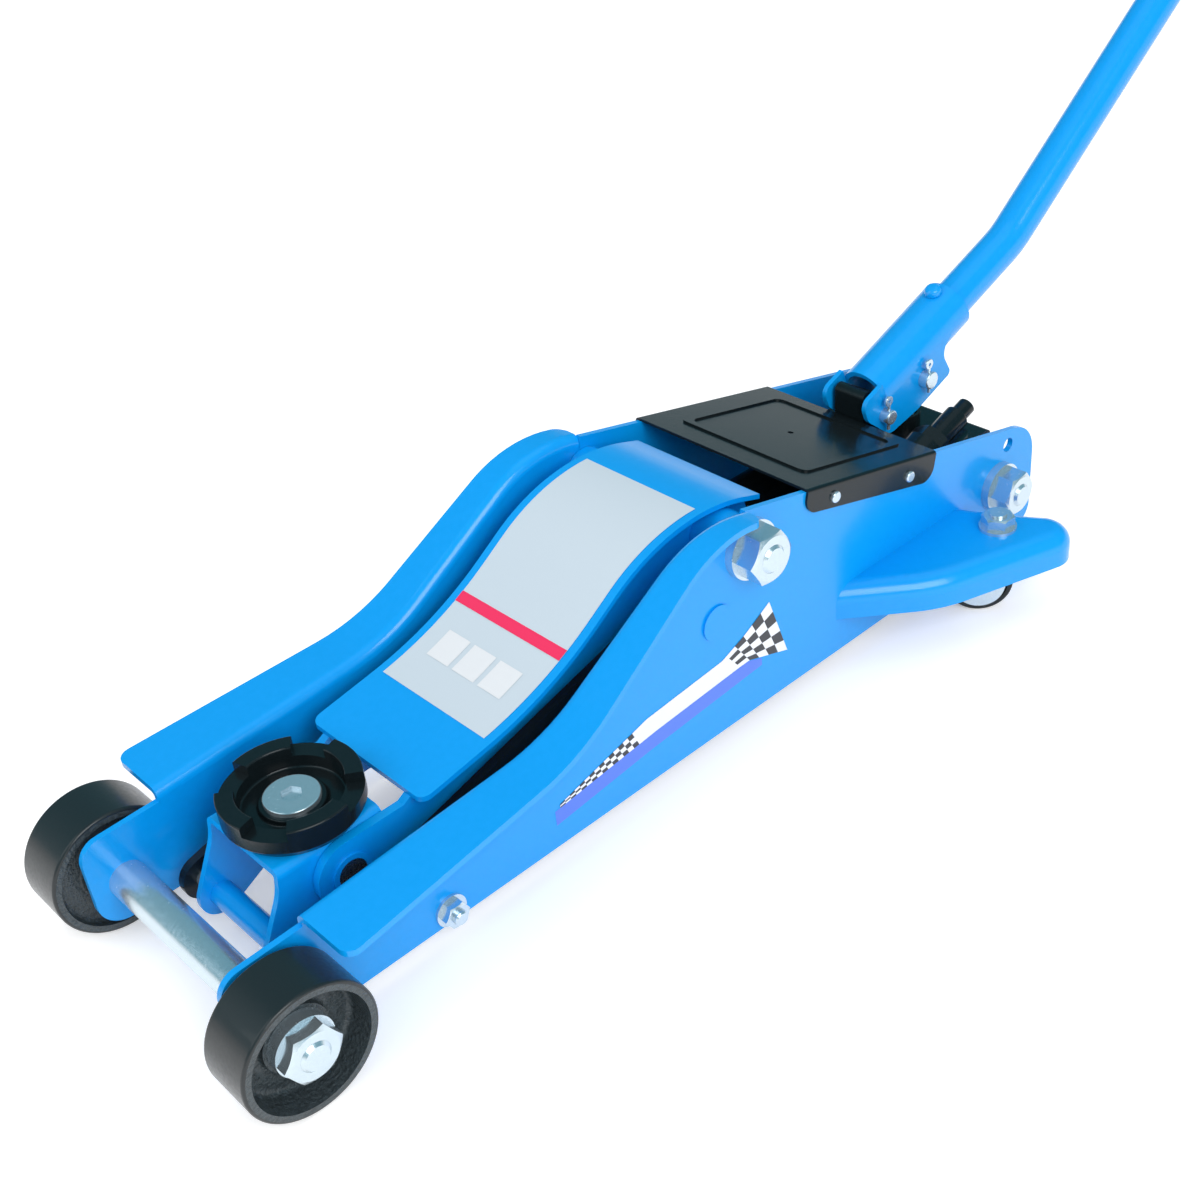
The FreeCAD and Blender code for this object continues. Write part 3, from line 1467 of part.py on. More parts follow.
def ram_and_cylinder():
    z = size("ram_height")
    front = size("block_front_aft")
    rod_bore = size("ram_radius") + gap
    reservoir = size("reservoir_radius")
    node("cylinder_cap", place(turned("cylinder_cap", [
        (rod_bore, aft(cap_rear_aft)), (reservoir, aft(cap_rear_aft)),
        (reservoir, aft(size("cylinder_cap_aft")), size("cylinder_wall") / 2),
        (rod_bore, aft(size("cylinder_cap_aft"))),
    ], along="x"), z=z))
    node("reservoir_tube", place(turned("reservoir_tube", [
        (reservoir - size("reservoir_wall"), aft(front)), (reservoir, aft(front)),
        (reservoir, aft(cap_rear_aft)), (reservoir - size("reservoir_wall"), aft(cap_rear_aft)),
    ], along="x"), z=z))
    node("pressure_cylinder", place(turned("pressure_cylinder", [
        (cylinder_bore, aft(front + size("cylinder_seat"))), (cylinder_radius,
                                                              aft(front + size("cylinder_seat"))),
        (cylinder_radius, aft(cap_rear_aft)), (cylinder_bore, aft(cap_rear_aft)),
    ], along="x"), z=z))
    piston_rear = piston_aft + size("piston_length")
    seal_front = piston_aft + (size("piston_length") - size("seal_width")) / 2
    seal_rear = seal_front + size("seal_width")
    groove = size("piston_radius") - size("seal_groove")
    node("ram", place(turned("ram", [
        (0, aft(piston_rear)), (size("piston_radius"), aft(piston_rear)), (size("piston_radius"),
                                                                           aft(seal_rear)),
        (groove, aft(seal_rear)), (groove, aft(seal_front)), (size("piston_radius"), aft(seal_front)),
        (size("piston_radius"), aft(piston_aft)), (size("ram_radius"), aft(piston_aft)),
        (size("ram_radius"), aft(ram_head_aft + size("ram_head_thickness"))),
        (size("ram_head_radius"), aft(ram_head_aft + size("ram_head_thickness"))),
        (size("ram_head_radius"), aft(ram_head_aft), size("thread_stand_out")), (0, aft(ram_head_aft)),
    ], along="x"), z=z))
    node("piston_seal", place(turned("piston_seal", [
        (groove, aft(seal_rear)), (size("piston_radius"), aft(seal_rear)),
        (size("piston_radius"), aft(seal_front)), (groove, aft(seal_front)),
    ], along="x"), z=z))


def plunger():
    radius = size("plunger_head_radius")
    head_bottom = size("pump_pin_height") - radius
    half = size("post_half_width")
    body = new_body("pump_plunger")
    pin_z = size("pump_pin_height")
    side_pad(body, [
        Corner(pump_pin_x - radius, head_bottom), Corner(pump_pin_x + radius, head_bottom),
        Round(pump_pin_x, pin_z, radius),
    ], -half, half)
    eye = size("pump_pin_radius") + gap * 3
    side_pocket(body, [Round(pump_pin_x - size("pump_pin_slack"), pin_z, eye), Round(pump_pin_x, pin_z,
                                                                                     eye)],
                -half - TRIM, half + TRIM)
    rod = (pump_pin_x, 0, size("plunger_radius"))
    plan_pad(body, [], size("plunger_bottom_height"), head_bottom + gap, [rod])
    node("pump_plunger", body)

    coil = new_body("plunger_spring")
    wire = size("spring_wire_radius")
    low = size("spring_seat_height") + wire
    height = head_bottom - wire - low
    section = new_sketch(coil, "XZ_Plane")
    draw_circle(section, size("spring_radius"), 0, wire)
    helix = coil.newObject("PartDesign::AdditiveHelix", "spring_coil")
    helix.Profile = section
    helix.ReferenceAxis = (section, ["V_Axis"])
    helix.Mode = "pitch-height-angle"
    bind(helix, "Height", height)
    bind(helix, "Pitch", height / size("spring_turns"))
    node("plunger_spring", place(coil, x=pump_pin_x, z=low))


# ---- handle socket, its pins and the post it turns on --------------------------------------

def on_socket(item):
    """Lays a piece along the socket's axis: its own X runs down the axis, its Z stands off it."""
    return place(item, aft(size("socket_aft")), 0, size("socket_height"), (0, 1, 0), rise)


def from_socket(x, z):
    """A point's place along the socket's axis and above it, from its X and Z."""
    run = aft(size("socket_aft")) - x
    lift = z - size("socket_height")
    return -(run * rise_cosine + lift * rise_sine), lift * rise_cosine - run * rise_sine


def handle_socket():
    radius = size("socket_radius")
    front = -size("socket_front")
    neck = -size("ear_neck")
    body = new_body("handle_socket")
    lap = size("socket_wall") / 2
    cross_pad(body, [
        Corner(-radius, -lap), Round(0, 0, radius), Corner(radius, -lap),
        Corner(socket_bore, -lap), Round(0, 0, socket_bore, hollow=True), Corner(-socket_bore, -lap),
    ], neck - lap, front)
    cross_pad(body, [], -size("socket_end"), neck + size("socket_wall"), [(0, 0, radius), (0, 0,
                                                                                           socket_bore)])
    drop = size("ear_drop")
    ear = [
        Corner(size("ear_front"), size("ear_top"), size("ear_top") / 2),
        Corner(front, size("ear_top")),
        Corner(front, 0),
        Corner(neck, 0),
        Corner(neck, -size("socket_wall")),
        Corner(size("socket_wall") - size("ear_rear"), -size("socket_wall") * 2, size("socket_wall") * 3),
        Corner(-size("ear_rear"), -drop, size("socket_wall")),
        Corner(-size("ear_heel"), -drop, drop / 2),
        Corner(size("ear_toe"), -drop * 0.85, drop / 3),
        Corner(size("ear_front"), 0, drop / 3),
    ]
    fulcrum = from_socket(aft(size("fulcrum_aft")), size("fulcrum_height"))
    pump = from_socket(pump_pin_x, size("pump_pin_height"))
    holes = [(*fulcrum, size("fulcrum_pin_radius") + gap), (*pump, size("pump_pin_radius") + gap)]
    ear_inner = socket_bore + gap * 4
    side_pad(body, ear, ear_inner, radius, holes)
    side_pad(body, ear, -radius, -ear_inner, holes)
    plan_pocket(body, [], handle_drop, radius + TRIM, [(-size("thumb_along"), 0,
                                                        size("thumb_radius") + gap)])
    node("handle_socket", on_socket(body))

    handle_top = size("handle_radius") - handle_drop + gap
    head_seat = radius + gap * 6
    screw = turned("thumb_screw", [
        (0, handle_top), (size("thumb_radius"), handle_top), (size("thumb_radius"), head_seat),
        (size("thumb_head_radius"), head_seat),
        (size("thumb_head_radius"), head_seat + size("thumb_head_height"), size("thumb_head_height") * 0.7),
        (0, head_seat + size("thumb_head_height")),
    ], along="z")
    x = aft(size("socket_aft")) - size("thumb_along") * rise_cosine
    z = size("socket_height") + size("thumb_along") * rise_sine
    node("thumb_screw", place(screw, x, 0, z, (0, 1, 0), rise))


def clevis_pin(label, radius, x, z):
    """A headed pin through the socket's ears, with a hole for its split pin."""
    out = size("socket_radius") + gap
    head = size("pin_head_radius")
    far = out + size("pin_head_thickness")
    end = size("socket_radius") + size("pin_tail")
    blank = turned(label + "_blank", [
        (0, -far), (head, -far, size("pin_head_thickness") / 2), (head, -out),
        (radius, -out), (radius, end, size("pin_head_thickness") / 2), (0, end),
    ])
    hole = cylinder(label + "_hole", size("split_pin_radius") + gap, radius * 4)
    place(hole, 0, split_pin_across, -radius * 2)
    node(label, place(cut(label, blank, hole), x=x, z=z))


split_pin_across = derived("split_pin_across", size("socket_radius") + size("pin_tail") / 2)


def split_pin(x, z):
    """A split pin through the end of a clevis pin: a round shank with a flat-sided eye."""
    length = size("split_pin_length")
    radius = size("split_pin_radius")
    thick = radius * 3 / 2
    shank = cylinder("split_shank", radius, length)
    eye = turned("split_eye", [
        (radius, -thick / 2), (radius * 3, -thick / 2, thick / 4),
        (radius * 3, thick / 2, thick / 4), (radius, thick / 2),
    ])
    place(eye, 0, 0, length + radius * 3 / 2)
    pin = fused("split_pin", [shank, eye])
    return place(pin, x, split_pin_across, z - length / 2)


def socket_pins():
    clevis_pin("fulcrum_pin", size("fulcrum_pin_radius"), aft(size("fulcrum_aft")), size("fulcrum_height"))
    clevis_pin("pump_pin", size("pump_pin_radius"), pump_pin_x, size("pump_pin_height"))
    node("split_pins", grouped("split_pins", [
        split_pin(aft(size("fulcrum_aft")), size("fulcrum_height")),
        split_pin(pump_pin_x, size("pump_pin_height")),
    ]))


def fulcrum_post():
    front = aft(size("post_front_aft"))
    rear = aft(size("post_rear_aft"))
    top = size("post_top_height")
    base = size("block_top_height")
    half = size("post_half_width")
    edge = size("block_edge_radius")
    body = new_body("fulcrum_post")
    side_pad(body, [
        Corner(front, base), Corner(front, top, edge), Corner(front - size("post_top_length"), top,
                                                              edge / 2),
        Corner(rear, size("post_shoulder_height"), edge / 2), Corner(rear, base),
    ], -half, half, [(aft(size("fulcrum_aft")), size("fulcrum_height"), size("fulcrum_pin_radius") + gap)])
    node("fulcrum_post", body)


# ---- handle --------------------------------------------------------------------------------

def tube_profile(inner, outer, low, high):
    return [(inner, low), (outer, low), (outer, high), (inner, high)]


def on_upper_handle(item):
    return place(item, aft(bend_aft), 0, bend_height, (0, 1, 0), size("handle_rise_degrees"))


def handle():
    radius = size("handle_radius")
    bore = radius - size("handle_wall")
    start = -handle_stop
    lower = new_body("handle_lower_tube")
    section = new_sketch(lower, "YZ_Plane", start)
    draw_circle(section, 0, -handle_drop, radius)
    draw_circle(section, 0, -handle_drop, bore)
    turn = size("handle_rise_degrees") - rise
    bend = -size("handle_bend_along")
    route = side_sketch(lower)
    draw_route(route, [
        Corner(start, -handle_drop),
        Corner(bend, -handle_drop, size("handle_bend_radius")),
        Corner(bend - size("handle_lower_length") * cosine(turn),
               size("handle_lower_length") * sine(turn) - handle_drop),
    ])
    sweep(lower, section, route)
    node("handle_lower_tube", on_socket(lower))

    plug = bore - gap
    plug_end = size("handle_plug_length") - size("handle_lower_length")
    upper = turned("handle_upper_tube", [
        (plug - size("handle_wall"), plug_end), (plug, plug_end), (plug, -size("handle_lower_length")),
        (radius, -size("handle_lower_length")), (radius, -handle_end), (plug - size("handle_wall"),
                                                                        -handle_end),
    ], along="x")
    node("handle_upper_tube", on_upper_handle(upper))
    grip = turned("handle_grip", [
        (0, -handle_end - size("grip_wall")),
        (grip_radius, -handle_end - size("grip_wall"), size("grip_wall") / 2),
        (grip_radius, size("grip_length") - handle_end, size("grip_wall") / 2),
        (radius + gap, size("grip_length") - handle_end), (radius + gap, -handle_end), (0, -handle_end),
    ], along="x")
    node("handle_grip", on_upper_handle(grip))


def release_valve():
    base = gap * 4
    body_end = size("valve_body_length")
    tip_end = body_end + size("valve_tip_length")
    bevel = size("thread_stand_out") / 2
    item = turned("release_valve", [
        (0, -tip_end), (size("valve_tip_radius"), -tip_end, bevel), (size("valve_tip_radius"), -body_end),
        (size("valve_body_radius"), -body_end, bevel), (size("valve_body_radius"), -base),
        (size("valve_stem_radius"), -base), (size("valve_stem_radius"), size("valve_stem_length")),
        (0, size("valve_stem_length")),
    ], along="x")
    place(item, aft(size("valve_aft")), size("valve_across"), size("valve_height"),
          (0, 1, 0), size("valve_rise_degrees"))
    node("release_valve", item)


# ---- build, check and write ----------------------------------------------------------------

front_wheel()
front_axle()
side_plates()
cross_bolts()
link_studs()
lid()
wing_brackets()
casters()
lift_arm()
saddle_bracket()
level_links()
saddle()
pump_block()
ram_and_cylinder()
plunger()
fulcrum_post()
handle_socket()
socket_pins()
handle()
release_valve()

document.recompute()
for item in document.Objects:
    if "Invalid" in item.State or "Error" in item.State:
        raise RuntimeError("%s did not build: %s" % (item.Label, item.State))
for item in NODES:
    if item.Shape.isNull() or not item.Shape.isValid() or not item.Shape.Solids:
        raise RuntimeError("%s has no sound solid" % item.Label)

os.makedirs("parts", exist_ok=True)
for item in NODES:
    item.Shape.exportStep("parts/%s.step" % item.Label)
print("wrote %d sub-parts" % len(NODES))
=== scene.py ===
import math

import bpy
import numpy as np
from mathutils import Matrix, Vector


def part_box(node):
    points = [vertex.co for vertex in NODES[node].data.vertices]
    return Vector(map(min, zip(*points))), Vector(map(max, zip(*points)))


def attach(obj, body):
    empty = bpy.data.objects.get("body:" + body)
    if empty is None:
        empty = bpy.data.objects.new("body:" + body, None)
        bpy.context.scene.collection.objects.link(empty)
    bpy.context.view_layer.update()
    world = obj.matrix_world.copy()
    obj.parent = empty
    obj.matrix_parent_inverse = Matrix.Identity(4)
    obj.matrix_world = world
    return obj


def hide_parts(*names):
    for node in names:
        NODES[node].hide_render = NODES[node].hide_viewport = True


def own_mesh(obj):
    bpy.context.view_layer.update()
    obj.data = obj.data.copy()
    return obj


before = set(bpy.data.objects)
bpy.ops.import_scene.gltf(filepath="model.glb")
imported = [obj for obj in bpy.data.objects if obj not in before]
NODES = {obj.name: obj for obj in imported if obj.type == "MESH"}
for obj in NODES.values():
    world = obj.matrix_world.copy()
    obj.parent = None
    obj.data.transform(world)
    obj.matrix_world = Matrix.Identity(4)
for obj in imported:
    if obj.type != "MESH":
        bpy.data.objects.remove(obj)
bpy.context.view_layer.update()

bl_info = {
    "name": "Trolley Jack Finishes",
    "version": (1, 0, 0),
    "blender": (4, 5, 0),
    "location": "3D View > Sidebar > Jack",
    "description": "Paint, plating, labels and a studio for a hydraulic trolley jack",
    "category": "Object",
}

AXLE_X = (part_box("front_axle")[0].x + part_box("front_axle")[1].x) / 2
WHITE = (1, 1, 1, 1)

# The CAD nodes by finish.
BLUE_PARTS = (
    "side_plate_left", "side_plate_right", "wing_bracket_left", "wing_bracket_right",
    "arm_side_left", "arm_side_right", "arm_top_cover", "arm_pivot_tube", "saddle_bracket",
    "bracket_cross_tube", "handle_socket", "handle_lower_tube", "handle_upper_tube", "thumb_screw",
)
BLACK_PARTS = (
    "top_cover", "level_link_left", "level_link_right", "saddle", "pump_block", "fulcrum_post",
    "release_valve", "release_valve_gland", "cylinder_cap", "reservoir_tube",
)
IRON_PARTS = ("front_wheel_left", "front_wheel_right")
ZINC_PARTS = (
    "front_axle", "front_axle_washers", "front_axle_nuts", "front_tie_rod", "front_tie_nuts",
    "main_pivot_shaft", "main_pivot_washers", "main_pivot_nuts", "rear_tie_studs",
    "rear_tie_washers", "rear_tie_nuts", "top_cover_screws", "caster_nuts", "saddle_screw",
    "saddle_nut", "fulcrum_pin", "pump_pin", "split_pins", "caster_yoke_left",
    "caster_yoke_right", "caster_rivet_left", "caster_rivet_right", "link_front_pin",
)
STEEL_PARTS = (
    "link_pivot_studs", "arm_front_pin", "horn_pin", "pressure_cylinder", "pump_plunger", "ram",
)
RUBBER_PARTS = ("piston_seal", "handle_grip")
TYRE_PARTS = ("caster_wheel_left", "caster_wheel_right")

# A wheel's tread ends this far inside its rim.  The recess there is coarser, and its colour is
# painted paler: a painted glint that stands in for the light its coarse grain catches.
RIM_WIDTH = 0.0016
RECESS_PAINTED_GLINT = 3.5
RECESS_GRAIN = 3.0
TREAD_GRAIN = 0.06

# Steps along and round the wire of the plunger's spring.
COIL_STEPS = 420
WIRE_SIDES = 12

# Steps along and across a film on the arm's cover.
LABEL_STEPS = 60
LABEL_ROWS = 3

# Blank panels of the label: their places across it are shares of its half width, and along it
# metres behind its front edge.
PANEL_COUNT = 3
PANEL_FIRST = -0.72
PANEL_STEP = 0.50
PANEL_WIDTH = 0.42
PANEL_FRONT = 0.021
PANEL_REAR = 0.038

# Edges of the side flag: a share of its length, and the height over the floor there.
FLAG_LOWER_EDGE = ((0, 0.0364), (0.40, 0.0436), (0.82, 0.0483), (1, 0.038))
FLAG_UPPER_EDGE = ((0, 0.0386), (0.40, 0.055), (0.76, 0.0595), (0.88, 0.067), (1, 0.0776))
FRONT_SQUARES_END = 0.33
REAR_SQUARES_START = 0.78

# Edges of the band under it: a distance behind the axle, and the height over the floor there.
BAND_LOWER_EDGE = ((0.1745, 0.0266), (0.242, 0.0334), (0.3285, 0.0393))
BAND_UPPER_EDGE = ((0.1745, 0.0359), (0.242, 0.0432), (0.318, 0.0479), (0.3285, 0.0440))

# Lamps: name, place, size in metres and power in watts.  All face one point in the jack.
LAMPS = (
    ("key", (0.9, 2.2, 1.7), 1.6, 40),
    ("fill", (2.2, -0.6, 1.6), 1.8, 12),
    ("top", (-0.5, 0.2, 3.0), 2.2, 5),
)
LAMP_AIM = (0.2, 0, 0)

# The floor reaches this far from the middle, and lies a hair under the wheels.
FLOOR_REACH = 6.0
FLOOR_DROP = 0.0002

# Light from all round, and how far a line of sight rises before the ceiling starts and is full.
SKY_COLOUR = (0.96, 0.98, 1, 1)
CEILING_STARTS = 0.06
CEILING_FULL = 0.20


def behind_axle(distance):
    """World X of a place that lies a distance behind the front axle."""
    return AXLE_X - distance


# ---- settings -------------------------------------------------------------------------------

def colour(name, default, words):
    """A setting that is a colour."""
    return bpy.props.FloatVectorProperty(
        name=name, description=words, subtype="COLOR", size=4, min=0, max=1, default=default)


def number(name, default, words, **kind):
    """A setting that is a number, with the unit, subtype or limits of its kind."""
    return bpy.props.FloatProperty(name=name, description=words, default=default, **kind)


def length(name, default, words):
    """A setting in metres."""
    return number(name, default, words, unit="LENGTH")


def angle(name, degrees, words):
    """A setting that is an angle."""
    return number(name, math.radians(degrees), words, subtype="ANGLE")


class JackFinishes(bpy.types.PropertyGroup):
    """Colours of the jack's surfaces, the paint's unevenness and the spring's wire."""
    blue: colour("Blue", (0.001, 0.325, 0.84, 1), "Gloss enamel of the frame and the arm")
    black: colour("Black", (0.006, 0.010, 0.012, 1), "Gloss enamel of the cover and saddle")
    iron: colour("Iron", (0.012, 0.016, 0.018, 1), "Painted casting of the wheels")
    zinc: colour("Zinc", (0.62, 0.72, 0.78, 1), "Bright zinc plate of bolts and nuts")
    steel: colour("Steel", (0.50, 0.51, 0.53, 1), "Bare ground steel")
    rubber: colour("Rubber", (0.022, 0.022, 0.022, 1), "Moulded rubber")
    wire: length("Spring Wire", 0.0009, "Radius of the plunger spring's wire")
    turns: number("Spring Turns", 6.5, "Turns of the plunger's spring", min=1)
    peel: number("Orange Peel", 0.05, "How uneven the gloss paint is", min=0, max=1)


class JackMarkings(bpy.types.PropertyGroup):
    """Sizes and colours of the films on the arm's cover and the side plates."""
    label_front: length("Label Front", 0.155, "Distance of the label's front edge behind the axle")
    label_rear: length("Label Rear", 0.308, "Distance of the label's rear edge behind the axle")
    label_half: length("Label Half Width", 0.0415, "Half of the label's width")
    proud: length("Film Height", 0.00025, "How far a film stands off the paint")
    paper: colour("Label", (0.56, 0.65, 0.72, 1), "Ground of the label")
    stripe: colour("Stripe", (0.87, 0.026, 0.115, 1), "Plain stripe across the label")
    panel: colour("Panel", (0.74, 0.77, 0.80, 1), "Blank panels on the label")
    stripe_at: length("Stripe Place", 0.207, "Distance of the stripe behind the axle")
    stripe_wide: length("Stripe Width", 0.006, "Width of the stripe")
    violet: colour("Violet", (0.075, 0.19, 0.86, 1), "Band under the ribbon")
    ink: colour("Ink", (0.014, 0.012, 0.014, 1), "Dark squares of the flag")
    ribbon: colour("Ribbon", (0.86, 0.88, 0.92, 1), "Light squares of the flag")
    flag_tip: length("Flag Tip", 0.178, "Distance of the flag's thin end behind the axle")
    flag_top: length("Flag Top", 0.336, "Distance of its rear upper corner behind the axle")
    flag_foot: length("Flag Foot", 0.349, "Distance of its rear lower corner behind the axle")


class JackStudio(bpy.types.PropertyGroup):
    """The camera's place and view, and the floor, the ceiling and the light."""
    azimuth: angle("Azimuth", 50.99, "Direction of the camera round the jack")
    elevation: angle("Elevation", 35.17, "Camera's angle over the floor")
    roll: angle("Roll", -6.59, "Tilt of the camera about its own line")
    ahead: length("Ahead", 0.1974, "Camera's distance ahead of the front axle")
    aside: length("Aside", 0.5703, "Camera's distance to the left of the middle")
    height: length("Height", 0.5961, "Camera's height over the floor")
    lens: number("Lens", 49.74, "Focal length", unit="CAMERA")
    slide: bpy.props.FloatVectorProperty(name="Slide", size=2, default=(0.0075, 0.0122),
                                         description="Shift of the camera's frame")
    floor: colour("Floor", (0.90, 0.90, 0.90, 1), "Plain pale floor")
    glow: number("Floor Glow", 0.36, "How much brighter the floor looks than it is lit", min=0)
    ceiling: colour("Ceiling", (0.045, 0.27, 0.35, 1), "Dim ceiling over the white backdrop")
    sky: number("Sky", 0.72, "Strength of the light from all round", min=0)


# ---- surfaces -------------------------------------------------------------------------------

def grid_mesh(name, points, tube=False):
    """A mesh over a grid of points, rows by columns by three.  A tube's rows are rings, and its
    ends are closed."""
    rows, columns = points.shape[:2]
    index = np.arange(rows * columns).reshape(rows, columns)
    ends = [index[0, ::-1].tolist(), index[-1].tolist()] if tube else []
    if tube:
        index = np.concatenate([index, index[:, :1]], 1)
    faces = np.stack([index[:-1, :-1], index[1:, :-1], index[1:, 1:], index[:-1, 1:]], -1)
    mesh = bpy.data.meshes.new(name)
    mesh.from_pydata(points.reshape(-1, 3), [], faces.reshape(-1, 4).tolist() + ends)
    mesh.polygons.foreach_set("use_smooth", np.ones(len(mesh.polygons), bool))
    mesh.update()
    item = bpy.data.objects.new(name, mesh)
    bpy.context.scene.collection.objects.link(item)
    return item


def joined(x, y, z):
    """A grid of points from grids of x, y and z, each repeated where it has only one row, one
    column or one value."""
    return np.stack(np.broadcast_arrays(x, y, z), -1)


def height_at(places, edge):
    """Height of an edge at each place: straight lines between its corners."""
    return np.interp(places, *zip(*edge))


def node_points(name):
    """Every corner of a CAD node's mesh, as rows of x, y and z."""
    mesh = NODES[name].data
    flat = np.empty(len(mesh.vertices) * 3)
    mesh.vertices.foreach_get("co", flat)
    return flat.reshape(-1, 3)


def cover_height(x):
    """Height of the arm cover's upper skin over each x: its highest corners, joined in a line."""
    points = node_points("arm_top_cover")
    places, group = np.unique(np.round(points[:, 0], 5), return_inverse=True)
    top = np.full(len(places), -np.inf)
    np.maximum.at(top, group.ravel(), points[:, 2])
    return np.interp(x, places, top)


def plate_face():
    """Distance of a side plate's outer face from the middle: where the pivot's washers sit."""
    across = node_points("main_pivot_washers")[:, 1]
    return across[across > 0].min()


# ---- shader nodes ---------------------------------------------------------------------------

def add_node(tree, kind, values=None, **settings):
    """A new shader node with these settings, and with values set on its own sockets."""
    node = tree.nodes.new(kind)
    for label, value in settings.items():
        setattr(node, label, value)
    for socket, value in (values or {}).items():
        node.inputs[socket].default_value = value
    return node


def math_node(tree, operation, *values):
    """Output of a Math node, each of whose inputs is a number or another node's output."""
    node = add_node(tree, "ShaderNodeMath", operation=operation)
    for socket, value in zip(node.inputs, values):
        if isinstance(value, float):
            socket.default_value = value
        else:
            tree.links.new(value, socket)
    return node.outputs[0]


def shader_group(name, inputs, outputs):
    """A shader node group with named sockets, and the two nodes that hold them inside it."""
    group = bpy.data.node_groups.new(name, "ShaderNodeTree")
    for label, kind, value in inputs:
        group.interface.new_socket(label, in_out="INPUT", socket_type=kind).default_value = value
    for label, kind in outputs:
        group.interface.new_socket(label, in_out="OUTPUT", socket_type=kind)
    return group, group.nodes.new("NodeGroupInput"), group.nodes.new("NodeGroupOutput")


def grain_group():
    """Noise on object coordinates: a mask from 0 to 1 and a bumped normal."""
    group, inlet, outlet = shader_group(
        "Grain", [("Scale", "NodeSocketFloat", 400.0), ("Depth", "NodeSocketFloat", 0.1)],
        [("Mask", "NodeSocketFloat"), ("Normal", "NodeSocketVector")])
    place = add_node(group, "ShaderNodeTexCoord")
    noise = add_node(group, "ShaderNodeTexNoise", {"Detail": 4})
    bump = add_node(group, "ShaderNodeBump", {"Distance": 0.0004})
    join = group.links.new
    join(place.outputs["Object"], noise.inputs["Vector"])
    join(inlet.outputs["Scale"], noise.inputs["Scale"])
    join(inlet.outputs["Depth"], bump.inputs["Strength"])
    join(noise.outputs["Fac"], bump.inputs["Height"])
    join(noise.outputs["Fac"], outlet.inputs["Mask"])
    join(bump.outputs["Normal"], outlet.inputs["Normal"])
    return group


def rim_group():
    """1 on the tread of a wheel that turns about Y, 0 inside its rim: by distance from its axis."""
    group, inlet, outlet = shader_group(
        "Wheel Rim", [("Axis X", "NodeSocketFloat", 0.0), ("Axis Z", "NodeSocketFloat", 0.0),
                      ("Radius", "NodeSocketFloat", 0.04)], [("Mask", "NodeSocketFloat")])
    place = add_node(group, "ShaderNodeTexCoord")
    split = add_node(group, "ShaderNodeSeparateXYZ")
    group.links.new(place.outputs["Object"], split.inputs[0])
    ahead = math_node(group, "SUBTRACT", split.outputs["X"], inlet.outputs["Axis X"])
    above = math_node(group, "SUBTRACT", split.outputs["Z"], inlet.outputs["Axis Z"])
    square = math_node(group, "ADD", math_node(group, "POWER", ahead, 2.0),
                       math_node(group, "POWER", above, 2.0))
    inside = math_node(group, "SUBTRACT", inlet.outputs["Radius"], RIM_WIDTH)
    tread = math_node(group, "GREATER_THAN", math_node(group, "SQRT", square), inside)
    group.links.new(tread, outlet.inputs["Mask"])
    return group


# ---- finishes -------------------------------------------------------------------------------

def finish(name, base, rough, spread, scale, depth, metallic=0.0, coat=0.0, tint=0.06, sheen=0.4):
    """A surface whose colour and roughness drift slightly, over a fine grain."""
    material = bpy.data.materials.new(name)
    material.use_nodes = True
    tree = material.node_tree
    shader = tree.nodes["Principled BSDF"]
    for label, value in (("Metallic", metallic), ("Coat Weight", coat), ("Coat Roughness", 0.06),
                         ("Specular IOR Level", sheen)):
        shader.inputs[label].default_value = value
    texture = add_node(tree, "ShaderNodeGroup", {"Scale": scale, "Depth": depth}, name="Grain",
                       node_tree=bpy.data.node_groups.get("Grain") or grain_group())
    colours = add_node(tree, "ShaderNodeMix", {
        "A": [shade * (1 - tint) for shade in base[:3]] + [1],
        "B": [min(1, shade * (1 + tint)) for shade in base[:3]] + [1]}, data_type="RGBA")
    gloss = add_node(tree, "ShaderNodeMapRange",
                     {"To Min": rough - spread, "To Max": rough + spread})
    join = tree.links.new
    join(texture.outputs["Mask"], colours.inputs["Factor"])
    join(texture.outputs["Mask"], gloss.inputs["Value"])
    join(colours.outputs["Result"], shader.inputs["Base Color"])
    join(gloss.outputs["Result"], shader.inputs["Roughness"])
    join(texture.outputs["Normal"], shader.inputs["Normal"])
    return material


def cast_wheel(name, node, base):
    """A wheel's casting: smooth enamel on the tread, and coarse grain inside the rim, whose colour
    is painted paler as a painted glint of the light the grain catches.
    """
    # Painted glint: inside the rim the colour is made paler than the tread's, standing in for light
    # that the coarse grain catches.
    recess = [shade * RECESS_PAINTED_GLINT for shade in base[:3]]
    material = finish(name, recess, rough=0.36, spread=0.14, scale=520, depth=1.0, coat=0.25,
                      tint=0.7)
    tree = material.node_tree
    low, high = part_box(node)
    rim = add_node(tree, "ShaderNodeGroup", {
        "Axis X": (low.x + high.x) / 2, "Axis Z": (low.z + high.z) / 2,
        "Radius": (high.z - low.z) / 2},
        node_tree=bpy.data.node_groups.get("Wheel Rim") or rim_group())
    shader = tree.nodes["Principled BSDF"]
    shade = add_node(tree, "ShaderNodeMix", {"B": list(base[:3]) + [1]}, data_type="RGBA")
    depth = add_node(tree, "ShaderNodeMapRange", {"To Min": RECESS_GRAIN, "To Max": TREAD_GRAIN})
    join = tree.links.new
    join(rim.outputs["Mask"], shade.inputs["Factor"])
    join(shader.inputs["Base Color"].links[0].from_socket, shade.inputs["A"])
    join(shade.outputs["Result"], shader.inputs["Base Color"])
    join(rim.outputs["Mask"], depth.inputs["Value"])
    join(depth.outputs["Result"], tree.nodes["Grain"].inputs["Depth"])
    return material


def film(name, base):
    """Printed film: smooth, with a thin clear coat."""
    return finish(name, base, rough=0.3, spread=0.04, scale=900, depth=0.01, coat=0.4, tint=0.01)


def dress(names, material):
    """Gives CAD nodes a finish.  Their shapes stay as they are."""
    for name in names:
        NODES[name].data.materials.clear()
        NODES[name].data.materials.append(material)


